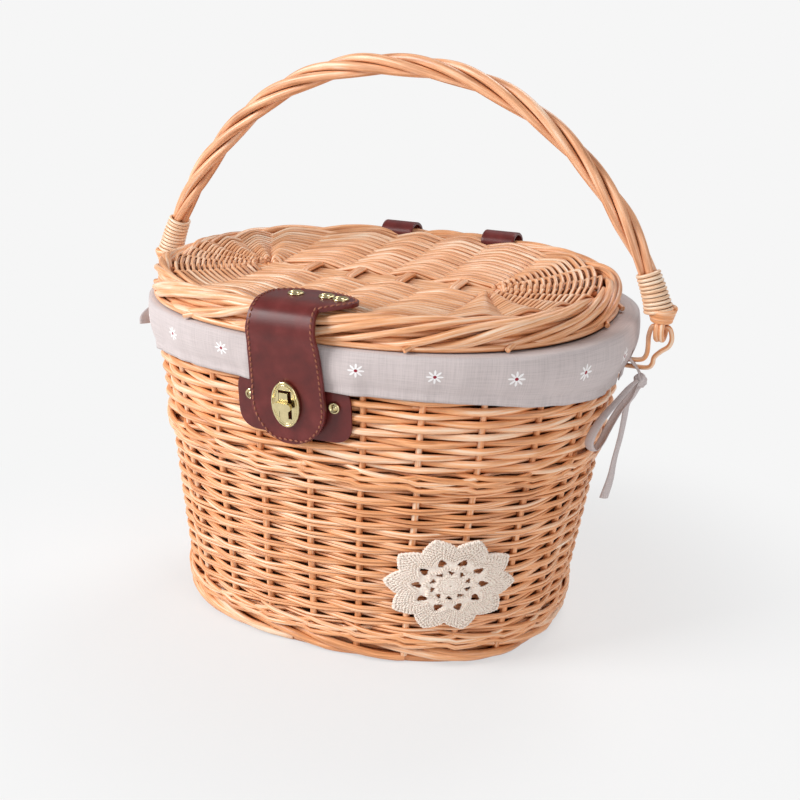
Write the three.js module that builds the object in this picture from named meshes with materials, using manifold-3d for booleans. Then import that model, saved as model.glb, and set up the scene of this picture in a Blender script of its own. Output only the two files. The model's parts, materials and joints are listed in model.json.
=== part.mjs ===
// Oval wicker bicycle basket with a back-hinged lid, a twisted swing handle, a cloth liner,
// a leather flap with a turn lock in front and two buckled leather mounting straps behind.
// Millimetres, +Z up. The front faces -Y and the long axis is X. The origin is the middle of
// the base outline, on the surface that the basket stands on.
import * as THREE from 'three';
import { mergeVertices } from 'three/addons/utils/BufferGeometryUtils.js';
import Module from 'manifold-3d';

const wasm = await Module();
wasm.setup();

// Driving sizes of the whole basket
const baseLength = 285;
const baseWidth = 215;
const rimLength = 334;
const rimWidth = 254;
const lidLength = 330;
const lidWidth = 262;
const lidTop = 250;
const lidThickness = 22;
const rimShift = 8;
const lidShift = 3;
const basketExponent = 2.4;
const lidExponent = 2.3;

// Fits
const gap = 0.3;
const clothGap = 0.5;

// Cloth, willow and leather stock
const clothThickness = 1.5;
const wallThickness = 7;
const stakeRadius = 1.8;
const leatherThickness = 2.5;
const tabLeatherThickness = 2;
const brassSheet = 1.5;

// Levels of the basket wall
const footHeight = 14;
const footWidth = 14;
const waleBottom = 135;
const waleHeight = 11;
const waleProud = 1;
const rimHeight = 14;
const rimRollProud = 1.5;
const basePanelThickness = 8;

// Levels that follow from the stack of lid, cloth and rim
const lidBottom = lidTop - lidThickness;
const linerTop = lidBottom - gap;
const rimTop = linerTop - clothThickness - gap;
const rimBottom = rimTop - rimHeight;
const stakeCentre = wallThickness + gap + stakeRadius;
const rimWidthInward = stakeCentre + stakeRadius;

// Counts
const ovalSegments = 48;
const stakeCount = 24;

const willow = finish('#dfa878', 0.62, 0);
const willowPale = finish('#ecc498', 0.6, 0);
const willowDark = finish('#c98d58', 0.66, 0);
const linen = finish('#d8d0ca', 0.95, 0);
const cotton = finish('#efe4cb', 0.95, 0);
const leather = finish('#5f2d2a', 0.42, 0);
const brass = finish('#d9c07c', 0.28, 1);

const basket = new THREE.Group();

function finish(colour, roughness, metalness) {
  return { color: colour, roughness, metalness };
}

function addPart(name, geometry, look, parent = basket) {
  const mesh = new THREE.Mesh(geometry, new THREE.MeshStandardMaterial(look));
  mesh.name = name;
  parent.add(mesh);
  return mesh;
}

// Oval outlines

function ovalPoint(angle, halfLength, halfWidth, exponent) {
  const power = 2 / exponent;
  const c = Math.cos(angle);
  const s = Math.sin(angle);
  const x = halfLength * Math.sign(c) * Math.abs(c) ** power;
  const y = halfWidth * Math.sign(s) * Math.abs(s) ** power;
  return new THREE.Vector2(x, y);
}

// Angles that cut an oval into even lengths, so that nested rings have matching facets.
function evenAngles(count, halfLength, halfWidth, exponent) {
  const samples = 1440;
  const lengths = [0];
  let last = ovalPoint(-Math.PI / 2, halfLength, halfWidth, exponent);
  for (let i = 1; i <= samples; i += 1) {
    const here = ovalPoint(-Math.PI / 2 + (2 * Math.PI * i) / samples, halfLength, halfWidth, exponent);
    lengths.push(lengths[i - 1] + here.distanceTo(last));
    last = here;
  }
  const angles = [];
  let k = 0;
  for (let i = 0; i < count; i += 1) {
    const wanted = (lengths[samples] * i) / count;
    while (lengths[k + 1] < wanted) k += 1;
    const part = (wanted - lengths[k]) / (lengths[k + 1] - lengths[k]);
    angles.push(-Math.PI / 2 + (2 * Math.PI * (k + part)) / samples);
  }
  return angles;
}

const wallAngles = evenAngles(ovalSegments, rimLength / 2, rimWidth / 2, basketExponent);
const lidAngles = evenAngles(ovalSegments, lidLength / 2, lidWidth / 2, lidExponent);

// The wall's outer oval at a height. It widens evenly from the base to the rim.
function wallOval(z) {
  const rise = z / rimTop;
  return {
    halfLength: THREE.MathUtils.lerp(baseLength, rimLength, rise) / 2,
    halfWidth: THREE.MathUtils.lerp(baseWidth, rimWidth, rise) / 2,
    centreX: rimShift * rise,
  };
}

// A ring of points at an offset outside the wall's outer face. Both values may depend on the angle.
function wallRing(offset, height) {
  return wallAngles.map((angle, i) => {
    const z = typeof height === 'function' ? height(angle) : height;
    const out = typeof offset === 'function' ? offset(angle, i) : offset;
    const oval = wallOval(z);
    const p = ovalPoint(angle, oval.halfLength + out, oval.halfWidth + out, basketExponent);
    return new THREE.Vector3(p.x + oval.centreX, p.y, z);
  });
}

function lidRing(offset, z) {
  return lidAngles.map((angle) => {
    const p = ovalPoint(angle, lidLength / 2 + offset, lidWidth / 2 + offset, lidExponent);
    return new THREE.Vector3(p.x + lidShift, p.y, z);
  });
}

// Solids

// A skin through rings of points. It closes on itself, or each end is closed round a middle point.
function loft(rings, closesOnItself) {
  const count = rings[0].length;
  const points = rings.flat();
  const index = [];
  const last = closesOnItself ? rings.length : rings.length - 1;
  for (let j = 0; j < last; j += 1) {
    const low = j * count;
    const high = ((j + 1) % rings.length) * count;
    for (let i = 0; i < count; i += 1) {
      const next = (i + 1) % count;
      index.push(low + i, low + next, high + next, low + i, high + next, high + i);
    }
  }
  if (!closesOnItself) {
    for (const end of [0, rings.length - 1]) {
      const middle = rings[end].reduce((sum, p) => sum.add(p), new THREE.Vector3()).divideScalar(count);
      points.push(middle);
      for (let i = 0; i < count; i += 1) {
        const here = end * count + i;
        const next = end * count + ((i + 1) % count);
        if (end === 0) index.push(points.length - 1, next, here);
        else index.push(points.length - 1, here, next);
      }
    }
  }
  const geometry = new THREE.BufferGeometry();
  geometry.setAttribute('position', new THREE.Float32BufferAttribute(points.flatMap((p) => p.toArray()), 3));
  geometry.setIndex(signedVolume(points, index) < 0 ? index.reverse() : index);
  geometry.computeVertexNormals();
  return geometry;
}

function signedVolume(points, index) {
  let sum = 0;
  for (let i = 0; i < index.length; i += 3) {
    const a = points[index[i]];
    const b = points[index[i + 1]];
    const c = points[index[i + 2]];
    sum += a.dot(b.clone().cross(c)) / 6;
  }
  return sum;
}

function toSolid(geometry) {
  const bare = geometry.clone();
  bare.deleteAttribute('normal');
  bare.deleteAttribute('uv');
  const merged = mergeVertices(bare, 1e-4);
  return new wasm.Manifold(new wasm.Mesh({
    numProp: 3,
    vertProperties: new Float32Array(merged.attributes.position.array),
    triVerts: new Uint32Array(merged.index.array),
  }));
}

function fromSolid(solid) {
  const mesh = solid.getMesh();
  const geometry = new THREE.BufferGeometry();
  geometry.setAttribute('position', new THREE.BufferAttribute(new Float32Array(mesh.vertProperties), 3));
  geometry.setIndex(new THREE.BufferAttribute(new Uint32Array(mesh.triVerts), 1));
  geometry.computeVertexNormals();
  return geometry;
}

function join(geometries) {
  return fromSolid(geometries.map(toSolid).reduce((all, one) => all.add(one)));
}

function cut(geometry, tools) {
  return fromSolid(tools.map(toSolid).reduce((all, one) => all.subtract(one), toSolid(geometry)));
}

function box(sizeX, sizeY, sizeZ, x, y, z) {
  return new THREE.BoxGeometry(sizeX, sizeY, sizeZ).translate(x, y, z);
}

function circleShape(radius, sides) {
  const points = [];
  for (let i = 0; i < sides; i += 1) {
    const angle = (2 * Math.PI * i) / sides;
    points.push(new THREE.Vector2(radius * Math.cos(angle), radius * Math.sin(angle)));
  }
  return new THREE.Shape(points);
}

function rod(curve, radius, sides, steps) {
  return new THREE.ExtrudeGeometry(circleShape(radius, sides), { steps, extrudePath: curve, bevelEnabled: false });
}

// A flat sheet of any outline, standing in the XZ plane with its outer face towards -Y at y = 0.
function uprightSheet(shape, thickness) {
  const geometry = new THREE.ExtrudeGeometry(shape, { depth: thickness, bevelEnabled: false });
  return geometry.rotateX(Math.PI / 2).translate(0, thickness, 0);
}

// Where the wall's outer face is on the front or back, and the way that it looks
function wallPlace(x, z, side) {
  const oval = wallOval(z);
  const share = Math.abs((x - oval.centreX) / oval.halfLength);
  const y = side * oval.halfWidth * (1 - share ** basketExponent) ** (1 / basketExponent);
  const slope = basketExponent - 1;
  const nx = (Math.sign(x - oval.centreX) * share ** slope) / oval.halfLength;
  const ny = (side * Math.abs(y / oval.halfWidth) ** slope) / oval.halfWidth;
  const outward = new THREE.Vector3(nx, ny, 0).normalize();
  return { place: new THREE.Vector3(x, y, z), outward };
}

// A patch of sheet that follows the wall: a flat outline pressed through a band of the wall's shape.
function wallPatch(shape, { place, outward }, offset, thickness, reach) {
  const depth = 60;
  const turn = Math.atan2(outward.y, outward.x) + Math.PI / 2;
  const prism = new THREE.ExtrudeGeometry(shape, { depth, bevelEnabled: false, curveSegments: 10 });
  prism.rotateX(Math.PI / 2).translate(0, depth / 2, 0).rotateZ(turn).translate(place.x, place.y, place.z);
  const low = place.z - reach;
  const high = place.z + reach;
  const band = loft([
    wallRing(offset, low),
    wallRing(offset + thickness, low),
    wallRing(offset + thickness, high),
    wallRing(offset, high),
  ], true);
  return fromSolid(toSolid(prism).intersect(toSolid(band)));
}

// Basket body

addPart('foot_border', loft([
  wallRing(-footWidth, 1),
  wallRing(1 - footWidth, 0),
  wallRing(-2, 0),
  wallRing(0, 3),
  wallRing(0, footHeight - 3),
  wallRing(-1, footHeight),
  wallRing(-footWidth, footHeight),
], true), willowPale);

const panelOffset = -footWidth - gap;
addPart('base_panel', loft([
  wallRing(panelOffset - 40, 0),
  wallRing(panelOffset - 0.5, 0),
  wallRing(panelOffset - 0.5, basePanelThickness),
  wallRing(panelOffset - 40, basePanelThickness),
], false), willow);

function wallBand(bottom, top, proud) {
  return loft([
    wallRing(-wallThickness, bottom),
    wallRing(proud, bottom),
    wallRing(proud, top),
    wallRing(-wallThickness, top),
  ], true);
}

const lowerWallBottom = footHeight + gap;
const lowerWallTop = waleBottom - gap;
const waleTop = waleBottom + waleHeight;
const upperWallBottom = waleTop + gap;
const upperWallTop = rimBottom - gap;

// Plain weave passes in front of one stake and behind the next. Here each broad course stands for
// several fine ones. It swells over every other stake, and a hollow parts it from the next course.
const lowerWallCourses = 5;
const wallWeaveDepth = 2.8;
const stakeStep = 2;

// How far the weave lies below its crest at a place round the oval: all the way, half way or not at all.
function weaveShare(i, course) {
  if (i % stakeStep !== 0) return 0.5;
  return (i / stakeStep + course) % 2;
}

function wovenWall(bottom, top, courses) {
  const courseHeight = (top - bottom) / courses;
  const rings = [wallRing(-wallThickness, bottom)];
  for (let course = 0; course < courses; course += 1) {
    const start = bottom + courseHeight * course;
    rings.push(wallRing(-wallWeaveDepth, start));
    rings.push(wallRing((angle, i) => -wallWeaveDepth * weaveShare(i, course), start + courseHeight / 2));
  }
  rings.push(wallRing(-wallWeaveDepth, top));
  rings.push(wallRing(-wallThickness, top));
  return loft(rings, true);
}

addPart('wall_lower', wovenWall(lowerWallBottom, lowerWallTop, lowerWallCourses), willow);
addPart('wall_wale', wallBand(waleBottom, waleTop, waleProud), willowPale);

// Two mounting straps thread through slots in the back of the upper wall, midway between stakes.
const strapWidth = 20;
const strapThickness = 2.4;
const strapReach = 28;
const strapTopZ = 192;
const strapBottomZ = 152;
const slotHeight = 7;
const slotSpareWidth = 3;
const strapVertices = [21, 27];
const strapPlaces = strapVertices.map((i) => {
  const [before, place, after] = [i - 1, i, i + 1].map((k) => wallRing(0, strapBottomZ)[k]);
  return { place, turn: Math.atan2(after.y - before.y, after.x - before.x) + Math.PI };
});

// Puts a piece, drawn with +Y pointing out of the wall and its own height, at a strap's place.
function atStrap(geometry, { place, turn }) {
  return geometry.rotateZ(turn).translate(place.x, place.y, 0);
}

function strapSlots() {
  return strapPlaces.flatMap((spot) => [strapTopZ, strapBottomZ].map((z) => atStrap(box(
    strapWidth + slotSpareWidth, 6 * wallThickness, slotHeight, 0, 0, z,
  ), spot)));
}
addPart('wall_upper', cut(wallBand(upperWallBottom, upperWallTop, 0), strapSlots()), willow);

// The stakes stand inside the wall, joined by the hoop that they are pricked into.
function stakeFrame() {
  const foot = footHeight + gap;
  const top = rimBottom - gap;
  const hoopBottom = wallRing(-stakeCentre - stakeRadius, foot);
  const pieces = [loft([
    hoopBottom,
    wallRing(-stakeCentre + stakeRadius, foot),
    wallRing(-stakeCentre + stakeRadius, foot + 2 * stakeRadius),
    wallRing(-stakeCentre - stakeRadius, foot + 2 * stakeRadius),
  ], true)];
  const low = wallRing(-stakeCentre, foot + stakeRadius);
  const high = wallRing(-stakeCentre, top);
  for (let k = 0; k < stakeCount; k += 1) {
    const i = (k * ovalSegments) / stakeCount;
    pieces.push(rod(new THREE.LineCurve3(low[i], high[i]), stakeRadius, 6, 1));
  }
  return join(pieces);
}
addPart('stake_frame', stakeFrame(), willowDark);

addPart('rim_border', loft([
  wallRing(-rimWidthInward, rimBottom),
  wallRing(0, rimBottom),
  wallRing(rimRollProud, rimBottom + 3),
  wallRing(rimRollProud, rimTop - 4),
  wallRing(-1.5, rimTop),
  wallRing(3 - rimWidthInward, rimTop),
  wallRing(-rimWidthInward, rimTop - 3),
], true), willowPale);

// Handle line, shared with the ears that carry it
const handleY = 8;
const pivotZ = 226;
const archHeight = 159;
const footHalfSpan = 190;
const archShoulder = 0.9;
const archRise = 1.43;

// Cloth liner: a bag inside, turned over the rim and hanging outside as a skirt
const hemFront = 198;
const hemDropAtEnds = 12;
const skirtPuff = 4.2;
const foldCount = 16;
const foldDepth = 0.6;
const endPuff = 2.5;
const skirtInner = 2.1;
const bagOffset = -rimWidthInward - clothGap;
const bagInner = bagOffset - clothThickness;
const bagFloor = basePanelThickness + clothGap;

function hemHeight(angle) {
  return hemFront - hemDropAtEnds * Math.cos(angle) ** 4;
}

// The skirt's folds stand out in a wave, and the cloth bulges at the right end.
function foldedSkirt(angle, share) {
  const fold = foldDepth * (Math.sin(foldCount * angle) + 0.6 * Math.sin(5 * angle + 1) - 0.4);
  const bulge = endPuff * Math.max(Math.cos(angle), 0) ** 3;
  return skirtPuff + share * (fold + bulge);
}

const earSlitTop = 210;
const earSlitHalfWidth = 4;

function linerBag() {
  return loft([
    wallRing(bagInner - 5, bagFloor + clothThickness),
    wallRing(bagInner - 2.5, footHeight + 2),
    wallRing(bagInner, footHeight + 26),
    wallRing(bagInner, linerTop - 3),
    wallRing(bagInner + 2, linerTop),
    wallRing(2.2, linerTop),
    wallRing((angle) => foldedSkirt(angle, 0.3) - 0.4, linerTop - 4),
    wallRing((angle) => foldedSkirt(angle, 1), (linerTop + hemFront) / 2),
    wallRing((angle) => foldedSkirt(angle, 0.8) - 0.6, hemHeight),
    wallRing(skirtInner, hemHeight),
    wallRing(skirtInner, rimBottom),
    wallRing(skirtInner, rimTop - 3.6),
    wallRing(-0.4, linerTop - clothThickness),
    wallRing(bagOffset + 3, linerTop - clothThickness),
    wallRing(bagOffset, linerTop - clothThickness - 3.5),
    wallRing(bagOffset, footHeight + 26),
    wallRing(bagOffset - 2.5, footHeight + 1),
    wallRing(bagOffset - 5, bagFloor),
  ], false);
}

function earSlits() {
  return [-1, 1].map((side) => {
    const oval = wallOval(earSlitTop);
    const x = rimShift + side * (oval.halfLength + skirtPuff);
    return box(24, 2 * earSlitHalfWidth, 40, x, handleY, earSlitTop - 20);
  });
}
const skirtOnlyBand = loft([
  wallRing(0.3, hemFront - hemDropAtEnds - 4),
  wallRing(skirtPuff + 2 * endPuff, hemFront - hemDropAtEnds - 4),
  wallRing(skirtPuff + 2 * endPuff, earSlitTop),
  wallRing(0.3, earSlitTop),
], true);
const slitTools = earSlits().map((slit) => fromSolid(toSolid(slit).intersect(toSolid(skirtOnlyBand))));
addPart('liner', cut(linerBag(), slitTools), linen);

// Willow ears: a hairpin from the wall, through the liner's slit and through the handle's eye
const earRodRadius = 1.6;
const eyeRingRadius = 6.6;
const eyeRodRadius = 3.4;
const eyeOuter = eyeRingRadius + eyeRodRadius;

// The crossbar carries the eye by the top of its hole.
const crossbarZ = pivotZ + eyeRingRadius - eyeRodRadius - earRodRadius - gap;

function earPath(side) {
  const wallAt = (z) => wallOval(z).halfLength + wallOval(z).centreX * side + gap / 2;
  const pin = footHalfSpan + rimShift * side;
  const inner = pin - eyeRodRadius - 4.2;
  const outer = pin + eyeRodRadius + 4.2;
  const route = [
    [wallAt(203), 203], [wallAt(203) + 8, 203], [inner - 3.2, 204.2], [inner - 0.4, 208.6], [inner, 215], [inner, 221],
    [inner + 2.2, crossbarZ], [pin, crossbarZ], [outer - 2.2, crossbarZ], [outer, 221], [outer - 1.6, 215.2],
    [pin + 1.2, 211.2], [pin - 3, 206.6], [pin - 4, 201.8], [pin - 7.6, 198.9], [wallAt(199) + 6, 198.6],
    [wallAt(199), 198.6],
  ];
  const points = route.map(([x, z]) => new THREE.Vector3(side * x, handleY, z));
  return new THREE.CatmullRomCurve3(points, false, 'centripetal');
}
addPart('handle_ear_left', rod(earPath(-1), earRodRadius, 6, 40), willow);
addPart('handle_ear_right', rod(earPath(1), earRodRadius, 6, 40), willow);

// Handle: four willow rods twisted round the arch, bound with cane at both feet
const handleRodRadius = 3.05;
const handleRodCount = 4;
const rodCircleRadius = 4.65;
const twistTurns = 3.4;
const bindingRodRadius = 1;
const bindingPitch = 2.7;
const bindingTurns = 10;
const bindingSteps = 14;
const bindingSides = 5;
const rodStart = eyeOuter + 0.6;

function archLine() {
  const samples = 60;
  const points = [];
  for (let i = 0; i <= samples; i += 1) {
    const a = (Math.PI * i) / samples;
    const c = Math.cos(a);
    const x = rimShift - Math.sign(c) * footHalfSpan * Math.abs(c) ** archShoulder;
    points.push(new THREE.Vector3(x, handleY, pivotZ + archHeight * Math.abs(Math.sin(a)) ** archRise));
  }
  points[0].x = rimShift - footHalfSpan;
  points[samples].x = rimShift + footHalfSpan;
  points[0].z = pivotZ;
  points[samples].z = pivotZ;
  return new THREE.CatmullRomCurve3(points, false, 'centripetal');
}
const arch = archLine();
const archLength = arch.getLength();

// A point beside the arch: turned by an angle round the arch's line, at a radius from it.
function besideArch(share, angle, radius) {
  const along = arch.getTangentAt(share);
  const across = new THREE.Vector3(0, 1, 0);
  const out = new THREE.Vector3().crossVectors(along, across).normalize();
  return arch.getPointAt(share)
    .addScaledVector(across, radius * Math.cos(angle))
    .addScaledVector(out, radius * Math.sin(angle));
}

class TwistedRod extends THREE.Curve {
  constructor(phase) {
    super();
    this.phase = phase;
  }

  getPoint(t, target = new THREE.Vector3()) {
    const first = rodStart / archLength;
    const share = first + (1 - 2 * first) * t;
    return target.copy(besideArch(share, this.phase + 2 * Math.PI * twistTurns * share, rodCircleRadius));
  }
}

for (let k = 0; k < handleRodCount; k += 1) {
  const curve = new TwistedRod((2 * Math.PI * k) / handleRodCount);
  addPart(`handle_rod_${k + 1}`, rod(curve, handleRodRadius, 6, 56), k % 2 ? willowDark : willow);
}

// A foot eye: the rod ends bent round into a ring that swings on the ear.
function handleEye(side) {
  const ring = new THREE.TorusGeometry(eyeRingRadius, eyeRodRadius, 8, 16);
  return ring.rotateY(Math.PI / 2).translate(rimShift + side * footHalfSpan, handleY, pivotZ);
}
addPart('handle_eye_left', handleEye(-1), willow);
addPart('handle_eye_right', handleEye(1), willow);

// A winding is one tube on a helix round the rods. Each end runs on straight for one diameter.
function winding(startLength, fromEnd) {
  const radius = rodCircleRadius + handleRodRadius + gap + bindingRodRadius;
  const steps = bindingTurns * bindingSteps;
  const centre = [];
  const outward = [];
  for (let i = 0; i <= steps; i += 1) {
    const turn = (2 * Math.PI * i) / bindingSteps;
    const length = startLength + (bindingPitch * i) / bindingSteps;
    const share = fromEnd ? 1 - length / archLength : length / archLength;
    centre.push(besideArch(share, turn, radius));
    outward.push(besideArch(share, turn, radius + 1).sub(centre[i]));
  }
  const first = centre[0].clone().sub(centre[1]).setLength(2 * bindingRodRadius).add(centre[0]);
  const last = centre[steps].clone().sub(centre[steps - 1]).setLength(2 * bindingRodRadius).add(centre[steps]);
  centre.unshift(first);
  centre.push(last);
  outward.unshift(outward[0]);
  outward.push(outward[steps + 1]);
  printLeastGap(fromEnd ? 'handle_binding_right' : 'handle_binding_left', centre);
  const rings = centre.map((point, i) => {
    const before = centre[Math.max(i - 1, 0)];
    const after = centre[Math.min(i + 1, centre.length - 1)];
    const along = after.clone().sub(before).normalize();
    const side = new THREE.Vector3().crossVectors(along, outward[i]).normalize();
    const up = new THREE.Vector3().crossVectors(side, along);
    const ring = [];
    for (let k = 0; k < bindingSides; k += 1) {
      const angle = (2 * Math.PI * k) / bindingSides;
      ring.push(point.clone()
        .addScaledVector(side, bindingRodRadius * Math.sin(angle))
        .addScaledVector(up, bindingRodRadius * Math.cos(angle)));
    }
    return ring;
  });
  return loft(rings, false);
}

function printLeastGap(name, centre) {
  let least = Infinity;
  for (let i = 0; i < centre.length; i += 1) {
    for (let j = i + Math.round(bindingSteps / 2); j < centre.length; j += 1) {
      least = Math.min(least, centre[i].distanceTo(centre[j]));
    }
  }
  console.log(`${name}: least gap between turns ${(least - 2 * bindingRodRadius).toFixed(2)} mm`);
}

const bindingStartLeft = 16;
const bindingStartRight = 13;
addPart('handle_binding_left', winding(bindingStartLeft, false), willowPale);
addPart('handle_binding_right', winding(bindingStartRight, true), willowPale);

// Lid
const lidBorderWidth = 14;
const lidPanelTop = 246.5;
const lidPanelMiddle = 240;
const lidPanelThickness = 7;
const lidDishNear = 18;
const lidDishFar = 48;
const spineY = -4;
const spineLength = 184;
const spineWidth = 15;
const spineThickness = 2.6;
const lidStickRadius = 2;
const lidStickSpacing = 29;
const lidStickCount = 6;
const stickEndInset = 26;

addPart('lid_border', loft([
  lidRing(-lidBorderWidth, lidBottom + 5),
  lidRing(3 - lidBorderWidth, lidBottom),
  lidRing(-4, lidBottom),
  lidRing(0, lidBottom + 5),
  lidRing(0, lidTop - 7),
  lidRing(-3, lidTop - 1.5),
  lidRing(-7, lidTop),
  lidRing(-lidBorderWidth, lidTop - 2.5),
], true), willowPale);

// The panel is dished: its middle lies lower than its edge. Its top is woven in rounds, which rise
// and dip over the sticks below them, with a hollow between one round and the next.
const lidPanelOffset = -lidBorderWidth - gap;
const lidPanelSections = [
  [lidPanelOffset - lidDishFar, lidPanelMiddle],
  [lidPanelOffset - lidDishNear, (lidPanelMiddle + lidPanelTop) / 2],
  [lidPanelOffset, lidPanelTop],
];
const lidWeaveDepth = 3.4;
const lidRoundWidth = 24;
const lidRounds = 4;

function dishTop(offset) {
  const [far, near, edge] = lidPanelSections;
  if (offset <= far[0]) return far[1];
  const [from, to] = offset < near[0] ? [far, near] : [near, edge];
  return THREE.MathUtils.mapLinear(offset, from[0], to[0], from[1], to[1]);
}

function lidWeaveRings() {
  const rings = [];
  for (let round = 0; round <= lidRounds; round += 1) {
    const hollow = lidPanelOffset - lidRoundWidth * round;
    const crest = hollow - lidRoundWidth / 2;
    rings.push(lidRing(hollow, dishTop(hollow) - lidWeaveDepth));
    if (round === lidRounds) break;
    const swell = lidRing(crest, dishTop(crest));
    swell.forEach((p, i) => p.setZ(p.z - lidWeaveDepth * weaveShare(i, round)));
    rings.push(swell);
  }
  return rings;
}

addPart('lid_panel', loft([
  ...lidPanelSections.map(([offset, top]) => lidRing(offset, top - lidPanelThickness)),
  ...lidWeaveRings(),
], false), willow);

addPart('lid_spine', box(
  spineLength, spineWidth, spineThickness, lidShift, spineY, lidPanelMiddle + gap + spineThickness / 2,
), willowDark);

function lidHalfWidthAt(x) {
  const reach = lidLength / 2 + lidPanelOffset;
  const share = Math.abs((x - lidShift) / reach) ** lidExponent;
  return (lidWidth / 2 + lidPanelOffset) * (1 - share) ** (1 / lidExponent);
}

for (let k = 0; k < lidStickCount; k += 1) {
  const x = lidShift + (k - (lidStickCount - 1) / 2) * lidStickSpacing;
  const half = lidHalfWidthAt(x) - stickEndInset;
  const z = lidPanelMiddle - lidPanelThickness - gap - lidStickRadius;
  const line = new THREE.LineCurve3(new THREE.Vector3(x, -half, z), new THREE.Vector3(x, half, z));
  addPart(`lid_cross_stick_${k + 1}`, rod(line, lidStickRadius, 8, 1), willowDark);
}

// Leather hinge tabs at the back: an upper leaf on the lid and a lower leaf on the basket
const tabWidth = 26;
const tabSpacing = 84;
const tabReachOnLid = 24;
const tabDrop = 32;
const hingeLeafGap = 0.5;
const tabRivetInset = 8;
const tabRivetRadius = 4;
const tabRivetHeight = 1.4;
const hingeY = 134;
const hingeZ = 237.4;
const wallLean = Math.atan((rimWidth - baseWidth) / 2 / rimTop);

function upperLeaf(x) {
  const inner = hingeY - tabLeatherThickness / 2;
  const outer = hingeY + tabLeatherThickness / 2;
  const under = lidTop + gap;
  const over = under + tabLeatherThickness;
  const shape = new THREE.Shape([
    new THREE.Vector2(inner - tabReachOnLid, under),
    new THREE.Vector2(inner, under),
    new THREE.Vector2(inner, hingeZ + hingeLeafGap),
    new THREE.Vector2(outer, hingeZ + hingeLeafGap),
    new THREE.Vector2(outer, over - 1),
    new THREE.Vector2(outer - 1, over),
    new THREE.Vector2(inner - tabReachOnLid, over),
  ]);
  const leaf = new THREE.ExtrudeGeometry(shape, { depth: tabWidth, bevelEnabled: false });
  leaf.rotateX(Math.PI / 2).rotateZ(Math.PI / 2);
  return leaf.translate(x - tabWidth / 2, 0, 0);
}

function lowerLeaf(x) {
  const leaf = box(tabWidth, tabLeatherThickness, tabDrop, 0, 0, -tabDrop / 2);
  return leaf.rotateX(-wallLean).translate(x, hingeY, hingeZ - hingeLeafGap);
}

for (const [side, name] of [[-1, 'left'], [1, 'right']]) {
  const x = lidShift + (side * tabSpacing) / 2;
  addPart(`hinge_tab_${name}_upper`, upperLeaf(x), leather);
  addPart(`hinge_tab_${name}_lower`, lowerLeaf(x), leather);
  const down = tabDrop - tabRivetInset;
  const outward = new THREE.Vector3(0, Math.cos(wallLean), -Math.sin(wallLean));
  const seat = new THREE.Vector3(x, hingeY - down * Math.sin(wallLean), hingeZ - hingeLeafGap - down);
  seat.addScaledVector(outward, tabLeatherThickness / 2 + gap);
  addPart(`hinge_rivet_${name}`, rivet(tabRivetRadius, tabRivetHeight, seat, outward), brass);
}

// Closure: a leather half-moon fixed on the lid, and the broad flap that hangs from it
const flapCentreX = -2;
const flapTopWidth = 49;
const flapBottomWidth = 55;
const flapLength = 90;
const flapHingeY = -(lidWidth / 2 + 5.5);
const flapHingeZ = lidTop - 0.5;
const headReach = 40;
const headDepth = 22;
const headBack = 13;
const headCrown = 21;
const eyeletRadius = 4.6;
const eyeletHole = 2;
const eyeletHeight = 1.2;

const closure = new THREE.Group();
closure.position.set(flapCentreX, flapHingeY, flapHingeZ);
closure.rotation.x = wallLean;
basket.add(closure);

function closureHead() {
  const front = flapHingeY + leatherThickness / 2 + 0.8;
  const wide = front + headDepth;
  const left = -flapTopWidth / 2;
  const right = flapTopWidth / 2;
  const shape = new THREE.Shape();
  shape.moveTo(left, front);
  shape.lineTo(right, front);
  shape.quadraticCurveTo(right + 3, wide - 10, headReach, wide);
  shape.quadraticCurveTo(headReach + 1, wide + 8, headReach - headBack, wide + headBack);
  shape.quadraticCurveTo(8, wide + headCrown, left / 2, wide + headBack - 1);
  shape.quadraticCurveTo(left, wide + 6, left, wide - 2);
  shape.lineTo(left, front);
  const head = new THREE.ExtrudeGeometry(shape, { depth: leatherThickness, bevelEnabled: false, curveSegments: 8 });
  return head.translate(flapCentreX, 0, lidTop + gap);
}
addPart('closure_head', closureHead(), leather);

function eyelet(x, y) {
  const profile = [
    new THREE.Vector2(eyeletHole, 0),
    new THREE.Vector2(eyeletRadius, 0),
    new THREE.Vector2(eyeletRadius - 0.6, eyeletHeight),
    new THREE.Vector2(eyeletHole + 0.4, eyeletHeight),
    new THREE.Vector2(eyeletHole, 0),
  ];
  const ring = new THREE.LatheGeometry(profile, 16).rotateX(Math.PI / 2);
  return ring.translate(x, y, lidTop + gap + leatherThickness + gap);
}
const eyeletPlaces = [[-4, 25.5], [17, 27], [28, 24.5]];
eyeletPlaces.forEach(([x, y], k) => {
  addPart(`closure_eyelet_${k + 1}`, eyelet(flapCentreX + x, flapHingeY + y), brass);
});

function flapShape() {
  const round = 24;
  const shape = new THREE.Shape();
  shape.moveTo(-flapTopWidth / 2, 0);
  shape.lineTo(-flapBottomWidth / 2, -flapLength + round + 6);
  shape.quadraticCurveTo(-flapBottomWidth / 2, -flapLength + 4, -6, -flapLength);
  shape.lineTo(6, -flapLength);
  shape.quadraticCurveTo(flapBottomWidth / 2, -flapLength + 4, flapBottomWidth / 2, -flapLength + round + 6);
  shape.lineTo(flapTopWidth / 2, 0);
  return shape;
}

// The lock's middle, measured down the flap from its fold
const lockDrop = 62;
const plateHalfWidth = 10;
const plateHalfHeight = 15.5;
const slotHalfWidth = 4.5;
const slotHalfHeight = 9.5;
const postWidth = 6;
const postHeight = 17;
const postLength = 6;
const barLength = 12.5;
const barHeight = 5.4;
const barThickness = 2.4;

function slotTool() {
  return box(2 * slotHalfWidth, 40, 2 * slotHalfHeight, 0, 0, -lockDrop);
}

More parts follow.
